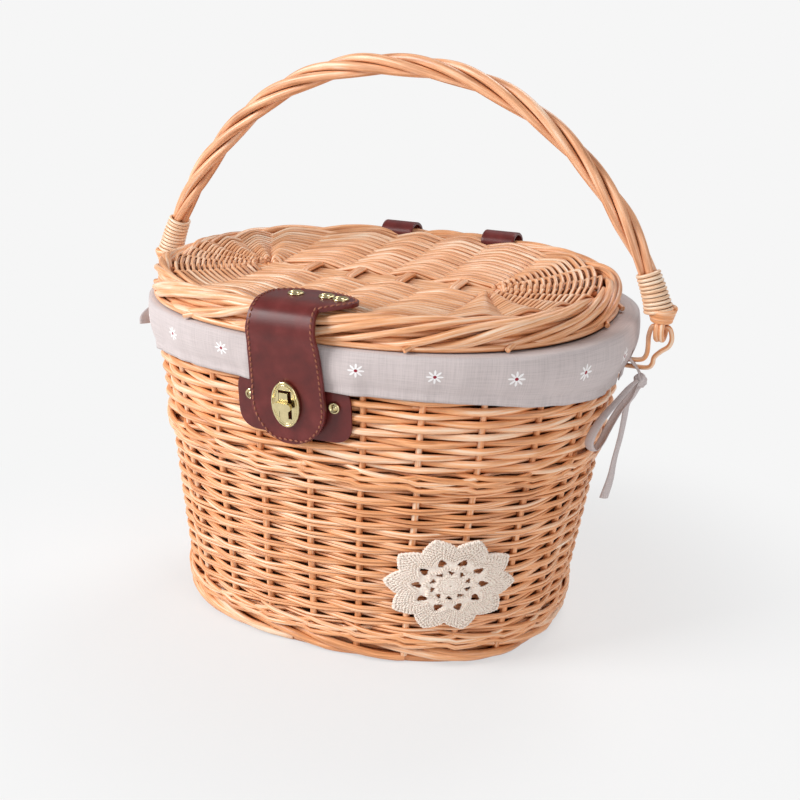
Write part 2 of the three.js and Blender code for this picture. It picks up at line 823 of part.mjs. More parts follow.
function flap() {
  const sheet = uprightSheet(flapShape(), leatherThickness).translate(0, -leatherThickness / 2, 0);
  const fold = new THREE.CylinderGeometry(leatherThickness / 2, leatherThickness / 2, flapTopWidth, 12);
  fold.rotateZ(Math.PI / 2);
  return cut(join([sheet, fold]), [slotTool()]);
}
addPart('closure_flap', flap(), leather, closure);

const flapFront = -leatherThickness / 2;
function lockPlate() {
  const oval = new THREE.Shape();
  oval.absellipse(0, -lockDrop, plateHalfWidth, plateHalfHeight, 0, 2 * Math.PI, false, 0);
  const sheet = new THREE.ExtrudeGeometry(oval, { depth: brassSheet, bevelEnabled: false, curveSegments: 12 });
  sheet.rotateX(Math.PI / 2);
  return cut(sheet.translate(0, flapFront - gap, 0), [slotTool()]);
}
addPart('lock_plate', lockPlate(), brass, closure);

const postFront = flapFront - gap - brassSheet - 2;
addPart('lock_post', box(
  postWidth, postLength, postHeight, 0, postFront + postLength / 2, -lockDrop,
), brass, closure);

function lockBar() {
  const bar = new THREE.Shape();
  const half = barLength / 2 - barHeight / 2;
  bar.moveTo(-half, -barHeight / 2);
  bar.lineTo(half, -barHeight / 2);
  bar.absarc(half, 0, barHeight / 2, -Math.PI / 2, Math.PI / 2, false);
  bar.lineTo(-half, barHeight / 2);
  bar.absarc(-half, 0, barHeight / 2, Math.PI / 2, (3 * Math.PI) / 2, false);
  const body = new THREE.ExtrudeGeometry(bar, { depth: barThickness, bevelEnabled: false, curveSegments: 5 });
  body.rotateX(Math.PI / 2).translate(0, postFront - gap, -lockDrop);
  return body;
}
addPart('lock_bar', lockBar(), brass, closure);

// Leather backing on the wall, its two rivets, and the brass base that faces the post
const backingWidth = 82;
const backingHeight = 40;
const backingZ = 183;
const backingThickness = 1.5;
const backingCorner = 14;
const rivetRadius = 4;
const rivetHeight = 1.3;
const rivetSpacing = 60;
const rivetZ = 187.5;
const baseWidthOfLock = 16;
const baseHeightOfLock = 18;
const lockBaseThickness = 3.2;

function roundedShape(width, height, corner) {
  const shape = new THREE.Shape();
  const x = width / 2;
  const z = height / 2;
  shape.moveTo(-x + corner, -z);
  shape.lineTo(x - corner, -z);
  shape.quadraticCurveTo(x, -z, x, -z + corner);
  shape.lineTo(x, z - corner);
  shape.quadraticCurveTo(x, z, x - corner, z);
  shape.lineTo(-x + corner, z);
  shape.quadraticCurveTo(-x, z, -x, z - corner);
  shape.lineTo(-x, -z + corner);
  shape.quadraticCurveTo(-x, -z, -x + corner, -z);
  return shape;
}

addPart('lock_backing', wallPatch(
  roundedShape(backingWidth, backingHeight, backingCorner),
  { place: wallPlace(flapCentreX, backingZ, -1).place, outward: new THREE.Vector3(0, -1, 0) },
  gap, backingThickness, backingHeight,
), leather);

// A domed head standing on a face that looks outward and is tipped back with the wall.
function rivet(radius, height, place, outward) {
  const head = new THREE.LatheGeometry([
    new THREE.Vector2(0, 0),
    new THREE.Vector2(radius, 0),
    new THREE.Vector2(radius * 0.75, height * 0.7),
    new THREE.Vector2(0, height),
  ], 14);
  const turn = new THREE.Quaternion().setFromUnitVectors(new THREE.Vector3(0, 1, 0), outward);
  return head.applyQuaternion(turn).translate(place.x, place.y, place.z);
}

for (const [side, name] of [[-1, 'left'], [1, 'right']]) {
  const { place, outward } = wallPlace(flapCentreX + (side * rivetSpacing) / 2, rivetZ, -1);
  const leaning = outward.clone().setZ(-Math.tan(wallLean)).normalize();
  place.addScaledVector(leaning, 2 * gap + backingThickness + 0.2);
  addPart(`backing_rivet_${name}`, rivet(rivetRadius, rivetHeight, place, leaning), brass);
}

function lockBase() {
  const backingFace = -wallOval(rivetZ).halfWidth - gap - backingThickness;
  const base = box(baseWidthOfLock, lockBaseThickness, baseHeightOfLock, 0, -lockBaseThickness / 2, 0);
  return base.rotateX(wallLean).translate(flapCentreX, backingFace - gap, rivetZ);
}
addPart('lock_base', lockBase(), brass);

// Crochet doily sewn on the right of the front
const doilyX = 97;
const doilyZ = 67;
const doilyWidth = 86;
const doilyHeight = 73;
const doilyPetals = 9;
const doilyThickness = 2;
const petalDepth = 0.14;

function doilyShape() {
  const points = [];
  const steps = doilyPetals * 6;
  for (let i = 0; i < steps; i += 1) {
    const turn = (2 * Math.PI * i) / steps;
    const share = 1 - petalDepth * (1 - Math.abs(Math.cos((doilyPetals * turn) / 2)));
    const x = (doilyWidth / 2) * share * Math.cos(turn);
    points.push(new THREE.Vector2(x, (doilyHeight / 2) * share * Math.sin(turn)));
  }
  return new THREE.Shape(points);
}
addPart('doily', wallPatch(doilyShape(), wallPlace(doilyX, doilyZ, -1), gap, doilyThickness, doilyHeight), cotton);

// Ribbon ties of the liner at the right end, and a short one at the left
const ribbonWidth = 10;
const ribbonThickness = 1;
const knotRadius = 6;

function ribbon(points, across) {
  const curve = new THREE.CatmullRomCurve3(points, false, 'centripetal');
  const steps = 16;
  const rings = [];
  for (let i = 0; i <= steps; i += 1) {
    const point = curve.getPointAt(i / steps);
    const along = curve.getTangentAt(i / steps);
    const side = across.clone().addScaledVector(along, -across.dot(along)).normalize();
    const out = new THREE.Vector3().crossVectors(along, side);
    rings.push([[-1, -1], [1, -1], [1, 1], [-1, 1]].map(([u, v]) => point.clone()
      .addScaledVector(side, (u * ribbonWidth) / 2)
      .addScaledVector(out, (v * ribbonThickness) / 2)));
  }
  return loft(rings, false);
}

// The right ties are knotted under the ear. One end hangs free, and the loop lies forward along the wall.
const knotPlace = new THREE.Vector3(188.5, 1.5, 191.5);
addPart('tie_right_knot', new THREE.SphereGeometry(knotRadius, 10, 8)
  .scale(0.8, 1, 0.9).translate(knotPlace.x, knotPlace.y, knotPlace.z), linen);

function through(places) {
  return places.map(([x, y, z]) => new THREE.Vector3(x, y, z));
}
addPart('tie_right_tail', ribbon(through([
  [187.5, 1.3, 185.1], [184, 0.5, 181], [181, 0, 175.5], [180, -0.5, 167], [178, -0.8, 155], [176, -1.4, 140],
  [174.5, -2.2, 125], [172, -3, 111],
]), new THREE.Vector3(0.3, 0.95, 0)), linen);
addPart('tie_right_loop', ribbon(through([
  [187.5, -7.7, 192.5], [185, -14.5, 189.5], [180.5, -26, 185], [175.8, -37.5, 179.5], [170.5, -41, 171],
  [167.8, -40, 163], [168.8, -32, 155.2], [170.5, -24, 157.5], [173, -16.5, 164.5], [177.5, -11.5, 174],
  [183, -8.8, 180.5], [186.4, -7.7, 185.2],
]), new THREE.Vector3(0.85, -0.5, 0)), linen);
const leftTieTop = -167;
addPart('tie_left', ribbon([
  new THREE.Vector3(leftTieTop + 6.2, -24, 207), new THREE.Vector3(leftTieTop - 8, -26, 206),
  new THREE.Vector3(leftTieTop - 14, -28, 200), new THREE.Vector3(leftTieTop - 15, -29, 190),
], new THREE.Vector3(0, 1, 0)), linen);

// Mounting straps: each is a closed band through two slots, with a buckle and a keeper on its back run
const strapCorner = 9;
const strapLean = (strapTopZ - strapBottomZ) * Math.tan(wallLean);
const buckleRodRadius = 1.4;
const buckleHeight = 17;
const buckleZ = 180;
const keeperZ = 164;
const keeperHeight = 8;
const keeperThickness = 1.4;

function roundedRun(path, low, high, near, far, corner) {
  path.moveTo(near, low);
  path.lineTo(far - corner, low);
  path.quadraticCurveTo(far, low, far, low + corner);
  path.lineTo(far, high - corner);
  path.quadraticCurveTo(far, high, far - corner, high);
  path.lineTo(near + strapLean, high);
  path.lineTo(near, low);
}

function mountingStrap() {
  const half = strapThickness / 2;
  const near = -wallThickness - 3 * gap - strapThickness;
  const shape = new THREE.Shape();
  roundedRun(shape, strapBottomZ - half, strapTopZ + half, near, strapReach + half, strapCorner + half);
  const hole = new THREE.Path();
  roundedRun(hole, strapBottomZ + half, strapTopZ - half, near + strapThickness, strapReach - half,
    strapCorner - half);
  shape.holes.push(hole);
  const band = new THREE.ExtrudeGeometry(shape, { depth: strapWidth, bevelEnabled: false, curveSegments: 5 });
  return band.rotateX(Math.PI / 2).rotateZ(Math.PI / 2).translate(-strapWidth / 2, 0, 0);
}

function buckle() {
  const wide = strapWidth / 2 + 1 + buckleRodRadius;
  const tilt = Math.asin((strapThickness + 2 * buckleRodRadius + 1) / buckleHeight);
  const ring = circleShape(buckleRodRadius, 8).getPoints();
  const up = new THREE.Vector3(0, Math.sin(tilt), Math.cos(tilt));
  const face = new THREE.Vector3(0, Math.cos(tilt), -Math.sin(tilt));
  const sections = [[-1, -1], [1, -1], [1, 1], [-1, 1]].map(([u, v]) => ring.map((p) => new THREE.Vector3()
    .addScaledVector(new THREE.Vector3(1, 0, 0), u * (wide + p.x))
    .addScaledVector(up, v * (buckleHeight / 2 + p.x))
    .addScaledVector(face, p.y)));
  return loft(sections, true).translate(0, strapReach, buckleZ);
}

function keeper() {
  const spare = 0.5;
  const room = [strapWidth + 2 * spare, strapThickness + 2 * spare];
  const outer = box(room[0] + 2 * keeperThickness, room[1] + 2 * keeperThickness, keeperHeight, 0, 0, 0);
  return cut(outer, [box(...room, 2 * keeperHeight, 0, 0, 0)]).translate(0, strapReach, keeperZ);
}

strapPlaces.forEach((spot, k) => {
  const name = k === 0 ? 'right' : 'left';
  addPart(`mount_strap_${name}`, atStrap(mountingStrap(), spot), leather);
  addPart(`mount_buckle_${name}`, atStrap(buckle(), spot), brass);
  addPart(`mount_keeper_${name}`, atStrap(keeper(), spot), leather);
});

export default basket;
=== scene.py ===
import json
from math import asin, atan, cos, hypot, pi, radians, sin, sqrt, tan

import bmesh
import bpy
import numpy as np
from mathutils import Matrix, Vector


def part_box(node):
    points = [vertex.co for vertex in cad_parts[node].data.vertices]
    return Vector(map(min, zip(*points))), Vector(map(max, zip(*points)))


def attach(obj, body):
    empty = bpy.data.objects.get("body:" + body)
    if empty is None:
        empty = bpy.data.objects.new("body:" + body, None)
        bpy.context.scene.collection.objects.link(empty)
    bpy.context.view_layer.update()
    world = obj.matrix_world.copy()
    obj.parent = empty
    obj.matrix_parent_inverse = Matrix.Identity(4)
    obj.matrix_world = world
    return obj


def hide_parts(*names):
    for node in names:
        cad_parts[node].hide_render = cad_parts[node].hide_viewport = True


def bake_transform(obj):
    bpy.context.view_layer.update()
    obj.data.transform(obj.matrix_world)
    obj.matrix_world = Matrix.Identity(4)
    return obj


bl_info = {
    "name": "Wicker Bicycle Basket",
    "version": (1, 0, 0),
    "blender": (4, 5, 0),
    "location": "3D View > Sidebar > Basket",
    "description": "Dresses the wicker bicycle basket and sets its stage",
    "category": "Object",
}

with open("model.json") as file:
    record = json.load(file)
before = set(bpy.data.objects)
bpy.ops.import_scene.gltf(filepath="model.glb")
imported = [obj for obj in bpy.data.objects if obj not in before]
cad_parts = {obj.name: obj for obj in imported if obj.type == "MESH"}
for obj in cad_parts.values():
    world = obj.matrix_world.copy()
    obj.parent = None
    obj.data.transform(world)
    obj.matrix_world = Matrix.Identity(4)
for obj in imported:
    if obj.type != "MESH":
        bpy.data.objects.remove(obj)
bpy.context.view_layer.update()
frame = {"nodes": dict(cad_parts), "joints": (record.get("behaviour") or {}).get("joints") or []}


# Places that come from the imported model

def middle(node):
    """The middle of a solid's box."""
    low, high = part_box(node)
    return (Vector(low) + Vector(high)) / 2


def joint(name):
    """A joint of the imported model, by its name."""
    return next(row for row in frame["joints"] if row["name"] == name)


def running_length(steps):
    """The length reached at each point of a line, from the lengths of its steps."""
    return np.concatenate([[0], np.cumsum(steps)])


def shares_round(count):
    """Even shares of the way round a closed line."""
    return np.arange(count) / count


WALL_EXPONENT = 2.4
LID_EXPONENT = 2.3
RING_STAKES = 24


class Wall:
    """The basket's wall: an oval that widens evenly from the foot to the rim."""

    def __init__(self):
        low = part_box("wall_lower")
        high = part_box("wall_upper")
        self.z = (low[1][2], high[1][2])
        self.length = tuple((b[1][0] - b[0][0]) / 2 for b in (low, high))
        self.width = tuple((b[1][1] - b[0][1]) / 2 for b in (low, high))
        self.centre = tuple((b[1][0] + b[0][0]) / 2 for b in (low, high))
        angles = np.linspace(-pi / 2, 1.5 * pi, 4001)
        x, y = self.oval(angles, self.length[1], self.width[1])
        length = running_length(np.hypot(np.diff(x), np.diff(y)))
        self.perimeter = float(length[-1])
        self.table = (length / length[-1], angles)

    @staticmethod
    def oval(angle, half_length, half_width, exponent=WALL_EXPONENT):
        """A point of a full oval, whose exponent is 2 for an ellipse and more for squarer ends."""
        c, s = np.cos(angle), np.sin(angle)
        power = 2 / exponent
        return half_length * np.sign(c) * np.abs(c) ** power, half_width * np.sign(s) * np.abs(s) ** power

    def at(self, z, pair):
        """A measure at a height, from its values at the foot and at the rim."""
        return pair[0] + (pair[1] - pair[0]) * (z - self.z[0]) / (self.z[1] - self.z[0])

    def angle(self, share):
        return np.interp(np.mod(share, 1.0), *self.table)

    def points(self, share, z, out):
        """Points at a share of the way round from the middle of the front, a height and a distance
        outside the wall."""
        share, z, out = np.broadcast_arrays(
            np.asarray(share, float), np.asarray(z, float), np.asarray(out, float))
        x, y = self.oval(self.angle(share), self.at(z, self.length) + out, self.at(z, self.width) + out)
        return np.stack([x + self.at(z, self.centre), y, z], axis=-1)

    def outside(self, place):
        """About how far outside the wall's outer face a place is. It is negative inside."""
        x = abs(place.x - self.at(place.z, self.centre))
        y = abs(place.y)
        n = WALL_EXPONENT
        long, wide = self.at(place.z, self.length), self.at(place.z, self.width)
        size = ((x / long) ** n + (y / wide) ** n) ** (1 / n)
        return (1 - 1 / size) * hypot(x, y) if size > 0 else -1.0

    def share_of(self, x, side=-1, z=None):
        """The share of the way round at which the front (side -1) or back (side 1) has this x."""
        z = self.z[1] if z is None else z
        shares = np.linspace(-0.25, 0.25, 2001) + (0 if side < 0 else 0.5)
        found = self.points(shares, z, 0)[:, 0]
        return float(shares[np.argmin(np.abs(found - x))])


WALL = Wall()
LID_LOW, LID_HIGH = (Vector(v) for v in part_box("lid_border"))
LID_CENTRE = (LID_LOW + LID_HIGH) / 2
LID_HALF = (LID_HIGH - LID_LOW) / 2
RIM_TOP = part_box("rim_border")[1][2]
LINER_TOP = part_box("liner")[1][2]
FOOT_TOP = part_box("foot_border")[1][2]
WALE_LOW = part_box("wall_wale")[0][2]
WALE_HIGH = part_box("wall_wale")[1][2]
PIVOT = Vector(joint("handle_swing")["pos_m"])
FLAP_AXIS = Vector(joint("flap_lift")["pos_m"])
WALL_LEAN = atan((WALL.width[1] - WALL.width[0]) / (WALL.z[1] - WALL.z[0]))


# Sizes and colours that a user may change

def length_property(name, description, default, low=0.0002, high=0.4):
    return bpy.props.FloatProperty(
        name=name, description=description, default=default, min=low, max=high, unit="LENGTH", precision=4)


def colour_property(name, description, default):
    return bpy.props.FloatVectorProperty(
        name=name, description=description, default=default, size=3, min=0, max=1, subtype="COLOR")


class BASKET_PG_weave(bpy.types.PropertyGroup):
    stake_radius: length_property("Stake radius", "Radius of the upright stakes", 0.0023)
    thick_rod: length_property("Thick rod radius", "Radius of the weavers above the waling", 0.0025)
    thin_rod: length_property("Thin rod radius", "Radius of the paired weavers below the waling", 0.00128)
    thick_pitch: length_property("Thick course height", "Height of one course above the waling", 0.0047)
    thin_pitch: length_property("Thin course height", "Height of one paired course below the waling", 0.0046)
    reach: length_property("Weave reach", "How far a weaver swings out of the middle of the wall", 0.0026)
    willow: colour_property("Willow", "Base colour of peeled willow", (0.90, 0.41, 0.172))


class BASKET_PG_lid(bpy.types.PropertyGroup):
    rings: bpy.props.IntProperty(
        name="Lid rounds", description="Rounds of weaving in the lid", default=30, min=4)
    rod: length_property("Lid rod radius", "Radius of the lid's weavers", 0.00175)
    border_rod: length_property("Border rod radius", "Radius of the rods in the lid's border", 0.0023)
    stick: length_property("Cross stick radius", "Radius of the lid's short cross sticks", 0.0019)


class BASKET_PG_soft(bpy.types.PropertyGroup):
    linen: colour_property("Linen", "Colour of the liner's cloth", (0.60, 0.525, 0.515))
    cotton: colour_property("Cotton", "Colour of the crochet doily", (0.99, 0.77, 0.68))
    fold_depth: length_property("Fold depth", "Height of the liner's folds", 0.0016)


class BASKET_PG_trim(bpy.types.PropertyGroup):
    leather: colour_property("Leather", "Colour of the leather", (0.125, 0.014, 0.012))
    thread: colour_property("Thread", "Colour of the stitching", (0.33, 0.11, 0.06))
    brass: colour_property("Brass", "Colour of the polished brass", (0.80, 0.68, 0.38))
    stitch: length_property("Stitch pitch", "Distance from one stitch to the next", 0.0038)


# Meshes

def new_mesh_object(name, points, faces, smooth=True):
    """A new piece made from points and faces."""
    mesh = bpy.data.meshes.new(name)
    mesh.from_pydata([tuple(p) for p in points], [], [tuple(f) for f in faces])
    mesh.validate()
    if smooth:
        mesh.shade_smooth()
    piece = bpy.data.objects.new(name, mesh)
    bpy.context.scene.collection.objects.link(piece)
    return piece


def grid_faces(rows, columns, close_columns=False):
    """The four-cornered faces between the points of a grid, listed row by row."""
    r = np.arange(rows - 1)
    c = np.arange(columns if close_columns else columns - 1)
    rr, cc = np.meshgrid(r, c, indexing="ij")
    r2, c2 = (rr + 1) % rows, (cc + 1) % columns
    corners = [rr * columns + cc, rr * columns + c2, r2 * columns + c2, r2 * columns + cc]
    return np.stack(corners, axis=-1).reshape(-1, 4)


def thicken(piece, thickness, offset=0):
    """Gives an open sheet its thickness. At offset 0 the sheet is the middle of it."""
    modifier = piece.modifiers.new("Cloth", "SOLIDIFY")
    modifier.thickness = thickness
    modifier.offset = offset


def write_uv(piece, uv):
    """Writes one UV pair for each vertex, in metres of cloth."""
    layer = piece.data.uv_layers.new(name="UVMap")
    index = np.empty(len(piece.data.loops), dtype=np.int32)
    piece.data.loops.foreach_get("vertex_index", index)
    layer.data.foreach_set("uv", np.asarray(uv, dtype=np.float32)[index].ravel())


def apply_modifiers(piece):
    """Turns the piece with its modifiers into a plain mesh."""
    bpy.context.view_layer.update()
    shape = piece.evaluated_get(bpy.context.evaluated_depsgraph_get())
    mesh = bpy.data.meshes.new_from_object(shape)
    old = piece.data
    piece.modifiers.clear()
    piece.data = mesh
    if len(mesh.materials) > 1 and mesh.materials[0] is None:
        mesh.materials.pop(index=0)
    bpy.data.meshes.remove(old)
    return piece


def face_out(piece):
    """Turns every face of a closed piece outward."""
    shape = bmesh.new()
    shape.from_mesh(piece.data)
    bmesh.ops.recalc_face_normals(shape, faces=shape.faces)
    shape.to_mesh(piece.data)
    shape.free()


def turned_piece(name, profile, centre, axis, look, sides=32):
    """A solid turned about an axis through centre.
    profile lists (radius, height), from the axis out and back."""
    ring = np.linspace(0, 2 * pi, sides, endpoint=False)
    points, faces = [], []
    for r, h in profile:
        points += [(r * cos(a), r * sin(a), h) for a in ring]
    rows = len(profile)
    for r in range(rows - 1):
        for c in range(sides):
            n = (c + 1) % sides
            faces.append((r * sides + c, r * sides + n, (r + 1) * sides + n, (r + 1) * sides + c))
    faces.append(tuple(range(sides))[::-1])
    faces.append(tuple(range((rows - 1) * sides, rows * sides)))
    turn = Vector((0, 0, 1)).rotation_difference(Vector(axis))
    piece = new_mesh_object(name, [tuple(Vector(centre) + turn @ Vector(p)) for p in points], faces)
    face_out(piece)
    piece.data.materials.append(look)
    return piece


# Geometry node trees

def node_tree(name, sockets):
    """A new geometry node tree with a geometry input and output, and the inputs that are listed."""
    tree = bpy.data.node_groups.new(name, "GeometryNodeTree")
    tree.interface.new_socket("Geometry", in_out="INPUT", socket_type="NodeSocketGeometry")
    tree.interface.new_socket("Geometry", in_out="OUTPUT", socket_type="NodeSocketGeometry")
    for label, kind, default in sockets:
        socket = tree.interface.new_socket(label, in_out="INPUT", socket_type=kind)
        if default is not None:
            socket.default_value = default
    return tree


class Wiring:
    """Adds nodes to a tree and joins them, so that a tree reads from top to bottom."""

    def __init__(self, tree, ends=True):
        self.tree = tree
        if ends:
            self.start = tree.nodes.new("NodeGroupInput")
            self.end = tree.nodes.new("NodeGroupOutput")

    def add(self, kind, settings=None, **inputs):
        node = self.tree.nodes.new(kind)
        for key, value in (settings or {}).items():
            setattr(node, key, value)
        for key, value in inputs.items():
            self.feed(node, key, value)
        return node

    def feed(self, node, key, value):
        wanted = key.replace("_", " ").lower()
        sockets = [s for s in node.inputs if s.enabled]
        if wanted.startswith("in "):
            socket = sockets[int(wanted[3:])]
        else:
            socket = next(s for s in sockets if s.name.lower() == wanted)
        if isinstance(value, bpy.types.NodeSocket):
            self.tree.links.new(value, socket)
        else:
            socket.default_value = value

    def out(self, node, key=0):
        if isinstance(key, int):
            return [s for s in node.outputs if s.enabled][key]
        return next(s for s in node.outputs if s.enabled and s.name == key)

    def given(self, label):
        return self.start.outputs[label]

    def link(self, source, target):
        self.tree.links.new(source, target)


def rod_tree():
    """Sweeps a round rod along every line, and stores each rod's own tone and grain."""
    tree = node_tree("Willow Rods", [
        ("Sides", "NodeSocketInt", 8), ("Seed", "NodeSocketInt", 1),
        ("Material", "NodeSocketMaterial", None)])
    w = Wiring(tree)
    curve = w.add("GeometryNodeMeshToCurve", Mesh=w.given("Geometry"))
    radius = w.add("GeometryNodeInputNamedAttribute", {"data_type": "FLOAT"}, Name="thickness")
    place = w.add("GeometryNodeSplineParameter")
    along = w.add("GeometryNodeCaptureAttribute", {"domain": "POINT"}, Geometry=w.out(curve))
    along.capture_items.new("FLOAT", "Length")
    w.link(w.out(place, "Length"), along.inputs["Length"])
    number = w.add("GeometryNodeInputIndex")
    which = w.add("GeometryNodeCaptureAttribute", {"domain": "CURVE"}, Geometry=along.outputs["Geometry"])
    which.capture_items.new("INT", "Rod")
    w.link(w.out(number), which.inputs["Rod"])
    circle = w.add("GeometryNodeCurvePrimitiveCircle", Resolution=w.given("Sides"), Radius=1.0)
    spot = w.add("GeometryNodeInputPosition")
    round_it = w.add("GeometryNodeCaptureAttribute", {"domain": "POINT"}, Geometry=w.out(circle))
    round_it.capture_items.new("VECTOR", "Spot")
    w.link(w.out(spot), round_it.inputs["Spot"])
    swept = w.add("GeometryNodeCurveToMesh",
                  Curve=which.outputs["Geometry"], Scale=w.out(radius), Fill_Caps=True)
    w.link(round_it.outputs["Geometry"], swept.inputs["Profile Curve"])
    parts = w.add("ShaderNodeSeparateXYZ", Vector=round_it.outputs["Spot"])
    grain = w.add("ShaderNodeCombineXYZ", X=w.out(parts, 0), Y=w.out(parts, 1), Z=along.outputs["Length"])
    stored = w.add("GeometryNodeStoreNamedAttribute", {"data_type": "FLOAT_VECTOR", "domain": "POINT"},
                   Geometry=w.out(swept), Name="grain", Value=w.out(grain))
    tone = w.add("FunctionNodeRandomValue", {"data_type": "FLOAT"},
                 ID=which.outputs["Rod"], Seed=w.given("Seed"))
    toned = w.add("GeometryNodeStoreNamedAttribute", {"data_type": "FLOAT", "domain": "POINT"},
                  Geometry=w.out(stored), Name="tone", Value=w.out(tone))
    finish_tree(w, w.out(toned))
    return tree


def finish_tree(w, geometry):
    """Shades a tree's geometry smooth, gives it its material and puts it out."""
    smooth = w.add("GeometryNodeSetShadeSmooth", Geometry=geometry)
    real = w.add("GeometryNodeRealizeInstances", Geometry=w.out(smooth))
    painted = w.add("GeometryNodeSetMaterial", Geometry=w.out(real), Material=w.given("Material"))
    w.link(w.out(painted), w.end.inputs["Geometry"])


def stitch_tree():
    """Lays a short fat thread at even steps along every line, turned to follow it."""
    tree = node_tree("Stitches", [
        ("Pitch", "NodeSocketFloat", 0.0034), ("Length", "NodeSocketFloat", 0.0026),
        ("Thickness", "NodeSocketFloat", 0.0005), ("Slant", "NodeSocketFloat", 0.25),
        ("Material", "NodeSocketMaterial", None)])
    w = Wiring(tree)
    curve = w.add("GeometryNodeMeshToCurve", Mesh=w.given("Geometry"))
    points = w.add("GeometryNodeCurveToPoints", {"mode": "LENGTH"},
                   Curve=w.out(curve), Length=w.given("Pitch"))
    bead = w.add("GeometryNodeMeshUVSphere", Segments=8, Rings=6, Radius=0.5)
    size = w.add("ShaderNodeCombineXYZ",
                 X=w.given("Thickness"), Y=w.given("Thickness"), Z=w.given("Length"))
    turn = w.add("ShaderNodeCombineXYZ", X=w.given("Slant"))
    spun = w.add("FunctionNodeRotateRotation", {"rotation_space": "LOCAL"},
                 Rotation=w.out(points, "Rotation"))
    w.link(w.out(turn), spun.inputs["Rotate By"])
    laid = w.add("GeometryNodeInstanceOnPoints", Points=w.out(points), Instance=w.out(bead),
                 Rotation=w.out(spun), Scale=w.out(size))
    finish_tree(w, w.out(laid))
    return tree


def run_tree(name, tree, lines, values, radii=None):
    """Makes a piece from lines of points. Each line is (points, closed), and values go to the
    tree's inputs."""
    points, edges, sizes = [], [], []
    for k, (line, closed) in enumerate(lines):
        start = len(points)
        points.extend(tuple(p) for p in line)
        edges.extend((start + i, start + i + 1) for i in range(len(line) - 1))
        if closed:
            edges.append((start + len(line) - 1, start))
        if radii is not None:
            sizes.extend(np.broadcast_to(radii[k], (len(line),)))
    mesh = bpy.data.meshes.new(name)
    mesh.from_pydata(points, edges, [])
    if radii is not None:
        thickness = mesh.attributes.new("thickness", "FLOAT", "POINT")
        thickness.data.foreach_set("value", np.asarray(sizes, np.float32))
    piece = bpy.data.objects.new(name, mesh)
    bpy.context.scene.collection.objects.link(piece)
    modifier = piece.modifiers.new("Shape", "NODES")
    modifier.node_group = tree
    for item in tree.interface.items_tree:
        if item.item_type == "SOCKET" and item.in_out == "INPUT" and item.name in values:
            modifier[item.identifier] = values[item.name]
    return apply_modifiers(piece)


def rods(name, lines, radii, material, sides, seed):
    """A piece made of round rods along lines. The seed picks each rod's tone."""
    return run_tree(name, TREES["rods"], lines, {"Sides": sides, "Seed": seed, "Material": material}, radii)


def stitches(name, lines, material, pitch, length, thickness, slant):
    """A piece made of stitches along lines."""
    values = {"Pitch": pitch, "Length": length, "Thickness": thickness, "Slant": slant, "Material": material}
    return run_tree(name, TREES["stitches"], lines, values)


# Materials

def shader_group(name, inputs, outputs):
    """A new shader node group with the inputs and outputs that are listed."""
    tree = bpy.data.node_groups.new(name, "ShaderNodeTree")
    for label, kind, default in inputs:
        socket = tree.interface.new_socket(label, in_out="INPUT", socket_type=kind)
        if default is not None:
            socket.default_value = default
    for label, kind in outputs:
        tree.interface.new_socket(label, in_out="OUTPUT", socket_type=kind)
    return tree


def ramp(w, factor, stops):
    """A colour ramp through stops of (position, colour)."""
    node = w.add("ShaderNodeValToRGB", Fac=factor)
    ends = (node.color_ramp.elements[0], node.color_ramp.elements[1])
    for element, (position, colour) in zip(ends, (stops[0], stops[-1])):
        element.position = position
        element.color = (*colour, 1)
    for position, colour in stops[1:-1]:
        node.color_ramp.elements.new(position).color = (*colour, 1)
    return w.out(node, "Color")


def maths(w, operation, a, b=0.0, clamp=False):
    """A math node's output."""
    node = w.add("ShaderNodeMath", {"operation": operation, "use_clamp": clamp})
    w.feed(node, "in 0", a)
    if len([s for s in node.inputs if s.enabled]) > 1:
        w.feed(node, "in 1", b)
    return w.out(node)


def weighted(w, a, a_share, b, b_share):
    """The sum of two values, each with its share."""
    return maths(w, "ADD", maths(w, "MULTIPLY", a, a_share), maths(w, "MULTIPLY", b, b_share))


def mix(w, factor, a, b, blend="MIX"):
    """A mix of two colours, each a plain colour or a node's output."""
    node = w.add("ShaderNodeMix", {"data_type": "RGBA", "blend_type": blend})
    w.feed(node, "Factor", factor)
    w.feed(node, "A", a if isinstance(a, bpy.types.NodeSocket) else (*a, 1))
    w.feed(node, "B", b if isinstance(b, bpy.types.NodeSocket) else (*b, 1))
    return w.out(node)


def grain_group():
    """Streaks that run along a rod, and soft patches. Puts out a colour and a height."""
    tree = shader_group("Willow Grain", [
        ("Vector", "NodeSocketVector", None), ("Tone", "NodeSocketFloat", 0.5),
        ("Pale", "NodeSocketColor", (0.9, 0.6, 0.35, 1)),
        ("Middle", "NodeSocketColor", (0.75, 0.43, 0.2, 1)),
        ("Dark", "NodeSocketColor", (0.45, 0.2, 0.07, 1))],
        [("Color", "NodeSocketColor"), ("Height", "NodeSocketFloat")])
    w = Wiring(tree)
    streak = w.add("ShaderNodeTexNoise", Vector=w.given("Vector"), Scale=1.0, Detail=4.0, Roughness=0.6)
    spread = w.add("ShaderNodeMapRange", Value=w.out(streak, 0), From_Min=0.34, From_Max=0.66)
    shade = weighted(w, w.out(spread), 0.55, w.given("Tone"), 0.45)
    low = mix(w, maths(w, "MULTIPLY", shade, 2.0, clamp=True), w.given("Dark"), w.given("Middle"))
    high = maths(w, "MULTIPLY", maths(w, "SUBTRACT", shade, 0.5), 2.0, clamp=True)
    full = mix(w, high, low, w.given("Pale"))
    w.link(full, w.end.inputs["Color"])
    w.link(w.out(streak, 0), w.end.inputs["Height"])
    return tree


